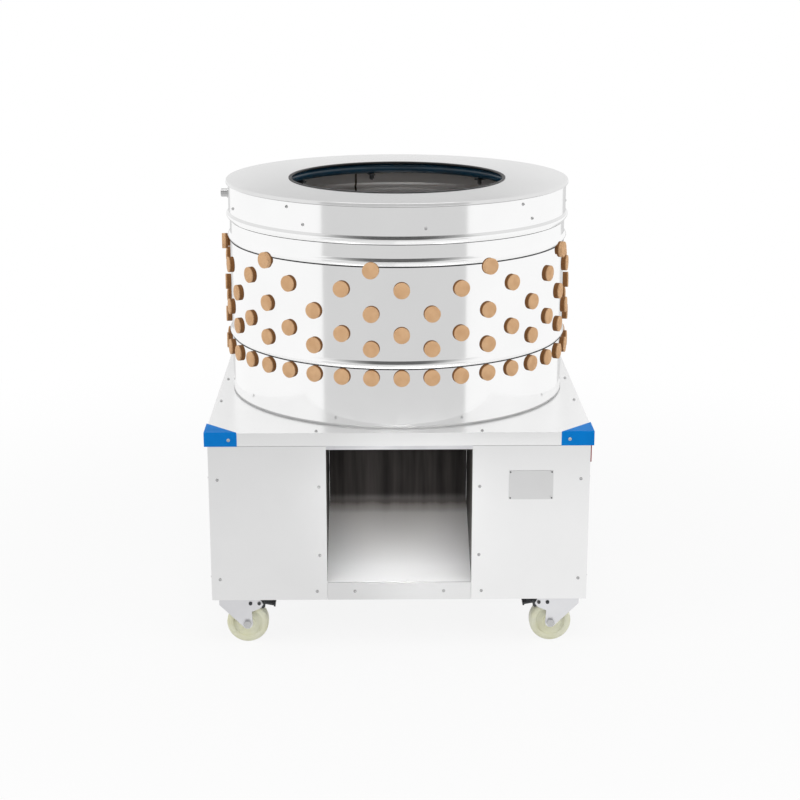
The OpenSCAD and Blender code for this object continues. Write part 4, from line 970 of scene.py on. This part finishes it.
# %% [markdown]
# ## Studio
# The photograph is a cut-out on white. A pale floor keeps a soft shadow, and reads white to the eye and to
# mirrors. The room is white too, with large soft lamps, so colours come out about as they are written. Grey
# cards that only mirrors can see stand round the machine: polished steel needs something darker to reflect,
# or it loses its roundness. The side lamps are kept out of the mirrors, where they would show as white spots.

# %% Floor and room
AMBIENT = 0.5
FLOOR_GLOW = 0.88
FLOOR_HALF = 40.0
FLOOR_FADE = (0.5, 1.8)


def seen(tree):
    """1 for camera, glossy and transmission rays, otherwise 0."""
    path = add(tree, "ShaderNodeLightPath").outputs
    eye = add(tree, "ShaderNodeMath", {0: path["Is Camera Ray"], 1: path["Is Glossy Ray"]},
              operation="MAXIMUM")
    both = add(tree, "ShaderNodeMath", {0: eye.outputs[0], 1: path["Is Transmission Ray"]},
               operation="MAXIMUM")
    return both.outputs[0]


def plane(name, corners, material, faces=None):
    """A stage piece: one flat face, unless its faces are given."""
    mesh = bpy.data.meshes.new(name)
    mesh.from_pydata(corners, [], faces or [range(len(corners))])
    mesh.materials.append(material)
    made = bpy.data.objects.new(name, mesh)
    bpy.context.scene.collection.objects.link(made)
    return made


floor_finish = bpy.data.materials.new("pale studio floor")
floor_finish.use_nodes = True
tree = floor_finish.node_tree
tree.nodes.clear()
spot = add(tree, "ShaderNodeTexCoord").outputs["Object"]
away = add(tree, "ShaderNodeVectorMath", {0: spot}, operation="LENGTH").outputs["Value"]
fade = add(tree, "ShaderNodeMapRange", {
    "Value": away, "From Min": FLOOR_FADE[0], "From Max": FLOOR_FADE[1], "To Min": FLOOR_GLOW, "To Max": 1.0},
    interpolation_type="SMOOTHSTEP")
matt = add(tree, "ShaderNodeBsdfDiffuse", {"Color": linear("#f4f4f4")})
glow = add(tree, "ShaderNodeEmission", {"Color": linear("#ffffff"), "Strength": 1.0})
share = add(tree, "ShaderNodeMath", {0: seen(tree), 1: fade.outputs["Result"]}, operation="MULTIPLY")
mixed = add(tree, "ShaderNodeMixShader", {0: share.outputs[0], 1: matt.outputs[0], 2: glow.outputs[0]})
add(tree, "ShaderNodeOutputMaterial", {"Surface": mixed.outputs[0]})
far = FLOOR_HALF
plane("studio floor", [(-far, -far, 0), (far, -far, 0), (far, far, 0), (-far, far, 0)], floor_finish)

room = bpy.data.worlds.new("white room")
bpy.context.scene.world = room
room.use_nodes = True
tree = room.node_tree
tree.nodes.clear()
level = add(tree, "ShaderNodeMapRange", {"Value": seen(tree), "To Min": AMBIENT, "To Max": 1.0})
white = add(tree, "ShaderNodeBackground", {
    "Color": linear("#ffffff"), "Strength": level.outputs["Result"]})
add(tree, "ShaderNodeOutputWorld", {"Surface": white.outputs[0]})
print("room: ambient", AMBIENT)

# %% Lamps
def lamp(name, place_at, aim, size, radiance):
    """A square soft lamp; radiance 1 is as bright as the white room."""
    data = bpy.data.lights.new(name, "AREA")
    data.shape = "SQUARE"
    data.size = size
    data.energy = radiance * math.pi * size * size
    made = bpy.data.objects.new(name, data)
    made.location = place_at
    made.rotation_euler = (Vector(aim) - Vector(place_at)).to_track_quat("-Z", "Y").to_euler()
    bpy.context.scene.collection.objects.link(made)
    return made


lamp("left lamp", (-3.4, -2.0, 1.9), (0, 0, 0.4), 2.4, 1.9).visible_glossy = False
lamp("right lamp", (3.5, -1.9, 1.8), (0, 0, 0.4), 2.4, 1.9).visible_glossy = False
lamp("top lamp", (0, -0.6, 3.2), (0, 0, 0.3), 2.2, 1.3)

SNOOT_PLACE = Vector((0, -2.6, 0.95))
SNOOT_AIM = Vector((0, -0.25, 0.22))
snoot_data = bpy.data.lights.new("chute snoot", "SPOT")
snoot_data.energy = 180
snoot_data.spot_size = math.radians(7)
snoot_data.spot_blend = 0.4
snoot_data.shadow_soft_size = 0.08
snoot = bpy.data.objects.new("chute snoot", snoot_data)
snoot.location = SNOOT_PLACE
snoot.rotation_euler = (SNOOT_AIM - SNOOT_PLACE).to_track_quat("-Z", "Y").to_euler()
bpy.context.scene.collection.objects.link(snoot)
print("lamps:", len(bpy.data.lights))

# %% Cards
def card(name, corners, level, soft=None, faces=None):
    """A grey card that only mirrors see. With soft, (from, to) distances from X = 0, it fades to white."""
    finish = bpy.data.materials.new(name)
    finish.use_nodes = True
    tree = finish.node_tree
    tree.nodes.clear()
    grey = add(tree, "ShaderNodeEmission", {"Color": linear("#ffffff"), "Strength": level})
    if soft:
        spot = add(tree, "ShaderNodeTexCoord").outputs["Object"]
        across = add(tree, "ShaderNodeSeparateXYZ", {"Vector": spot}).outputs["X"]
        off = add(tree, "ShaderNodeMath", {0: across}, operation="ABSOLUTE").outputs[0]
        fade = add(tree, "ShaderNodeMapRange", {
            "Value": off, "From Min": soft[0], "From Max": soft[1], "To Min": level, "To Max": 1.0},
            interpolation_type="SMOOTHSTEP")
        tree.links.new(fade.outputs["Result"], grey.inputs["Strength"])
    add(tree, "ShaderNodeOutputMaterial", {"Surface": grey.outputs[0]})
    made = plane(name, corners, finish, faces)
    made.visible_camera = False
    made.visible_diffuse = False
    made.visible_shadow = False


def upright_card(name, half, y, low, high, level, soft=None):
    """A card that faces along Y."""
    card(name, [(-half, y, low), (half, y, low), (half, y, high), (-half, y, high)], level, soft)


def level_card(name, x, y, z, level, soft=None):
    """A card that lies level between two X and two Y places."""
    card(name, [(x[0], y[0], z), (x[1], y[0], z), (x[1], y[1], z), (x[0], y[1], z)], level, soft)


CARD_STEPS = 48


def curved_card(name, radius, left, right, low, high, level):
    """An upright card bent round the drum's axis, between two angles from the front."""
    turns = [math.radians(left + (right - left) * i / CARD_STEPS) for i in range(CARD_STEPS + 1)]
    row = [(radius * math.sin(turn), -radius * math.cos(turn)) for turn in turns]
    points = [(x, y, low) for x, y in row] + [(x, y, high) for x, y in row]
    faces = [(i, i + 1, i + len(row) + 1, i + len(row)) for i in range(CARD_STEPS)]
    card(name, points, level, faces=faces)


curved_card("drum card", 1.2, -45.3, 40.7, 0.12, 1.05, 0.68)
curved_card("rear card", 1.2, 138, 216, 0.02, 0.6, 0.70)
upright_card("back card", 3.0, 3.0, 1.2, 3.4, 0.66, (0.3, 0.9))
level_card("bead card", (-2.6, 2.6), (-3.6, -0.95), 2.6, 0.12, (0.5, 2.4))
level_card("left floor card", (-0.75, -0.02), (-2.0, -0.4), 0.004, 0.82)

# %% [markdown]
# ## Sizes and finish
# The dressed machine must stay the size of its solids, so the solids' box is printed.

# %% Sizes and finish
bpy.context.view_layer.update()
for low, high in zip(*cad_box):
    print(f"solids {low:.4f} to {high:.4f}")
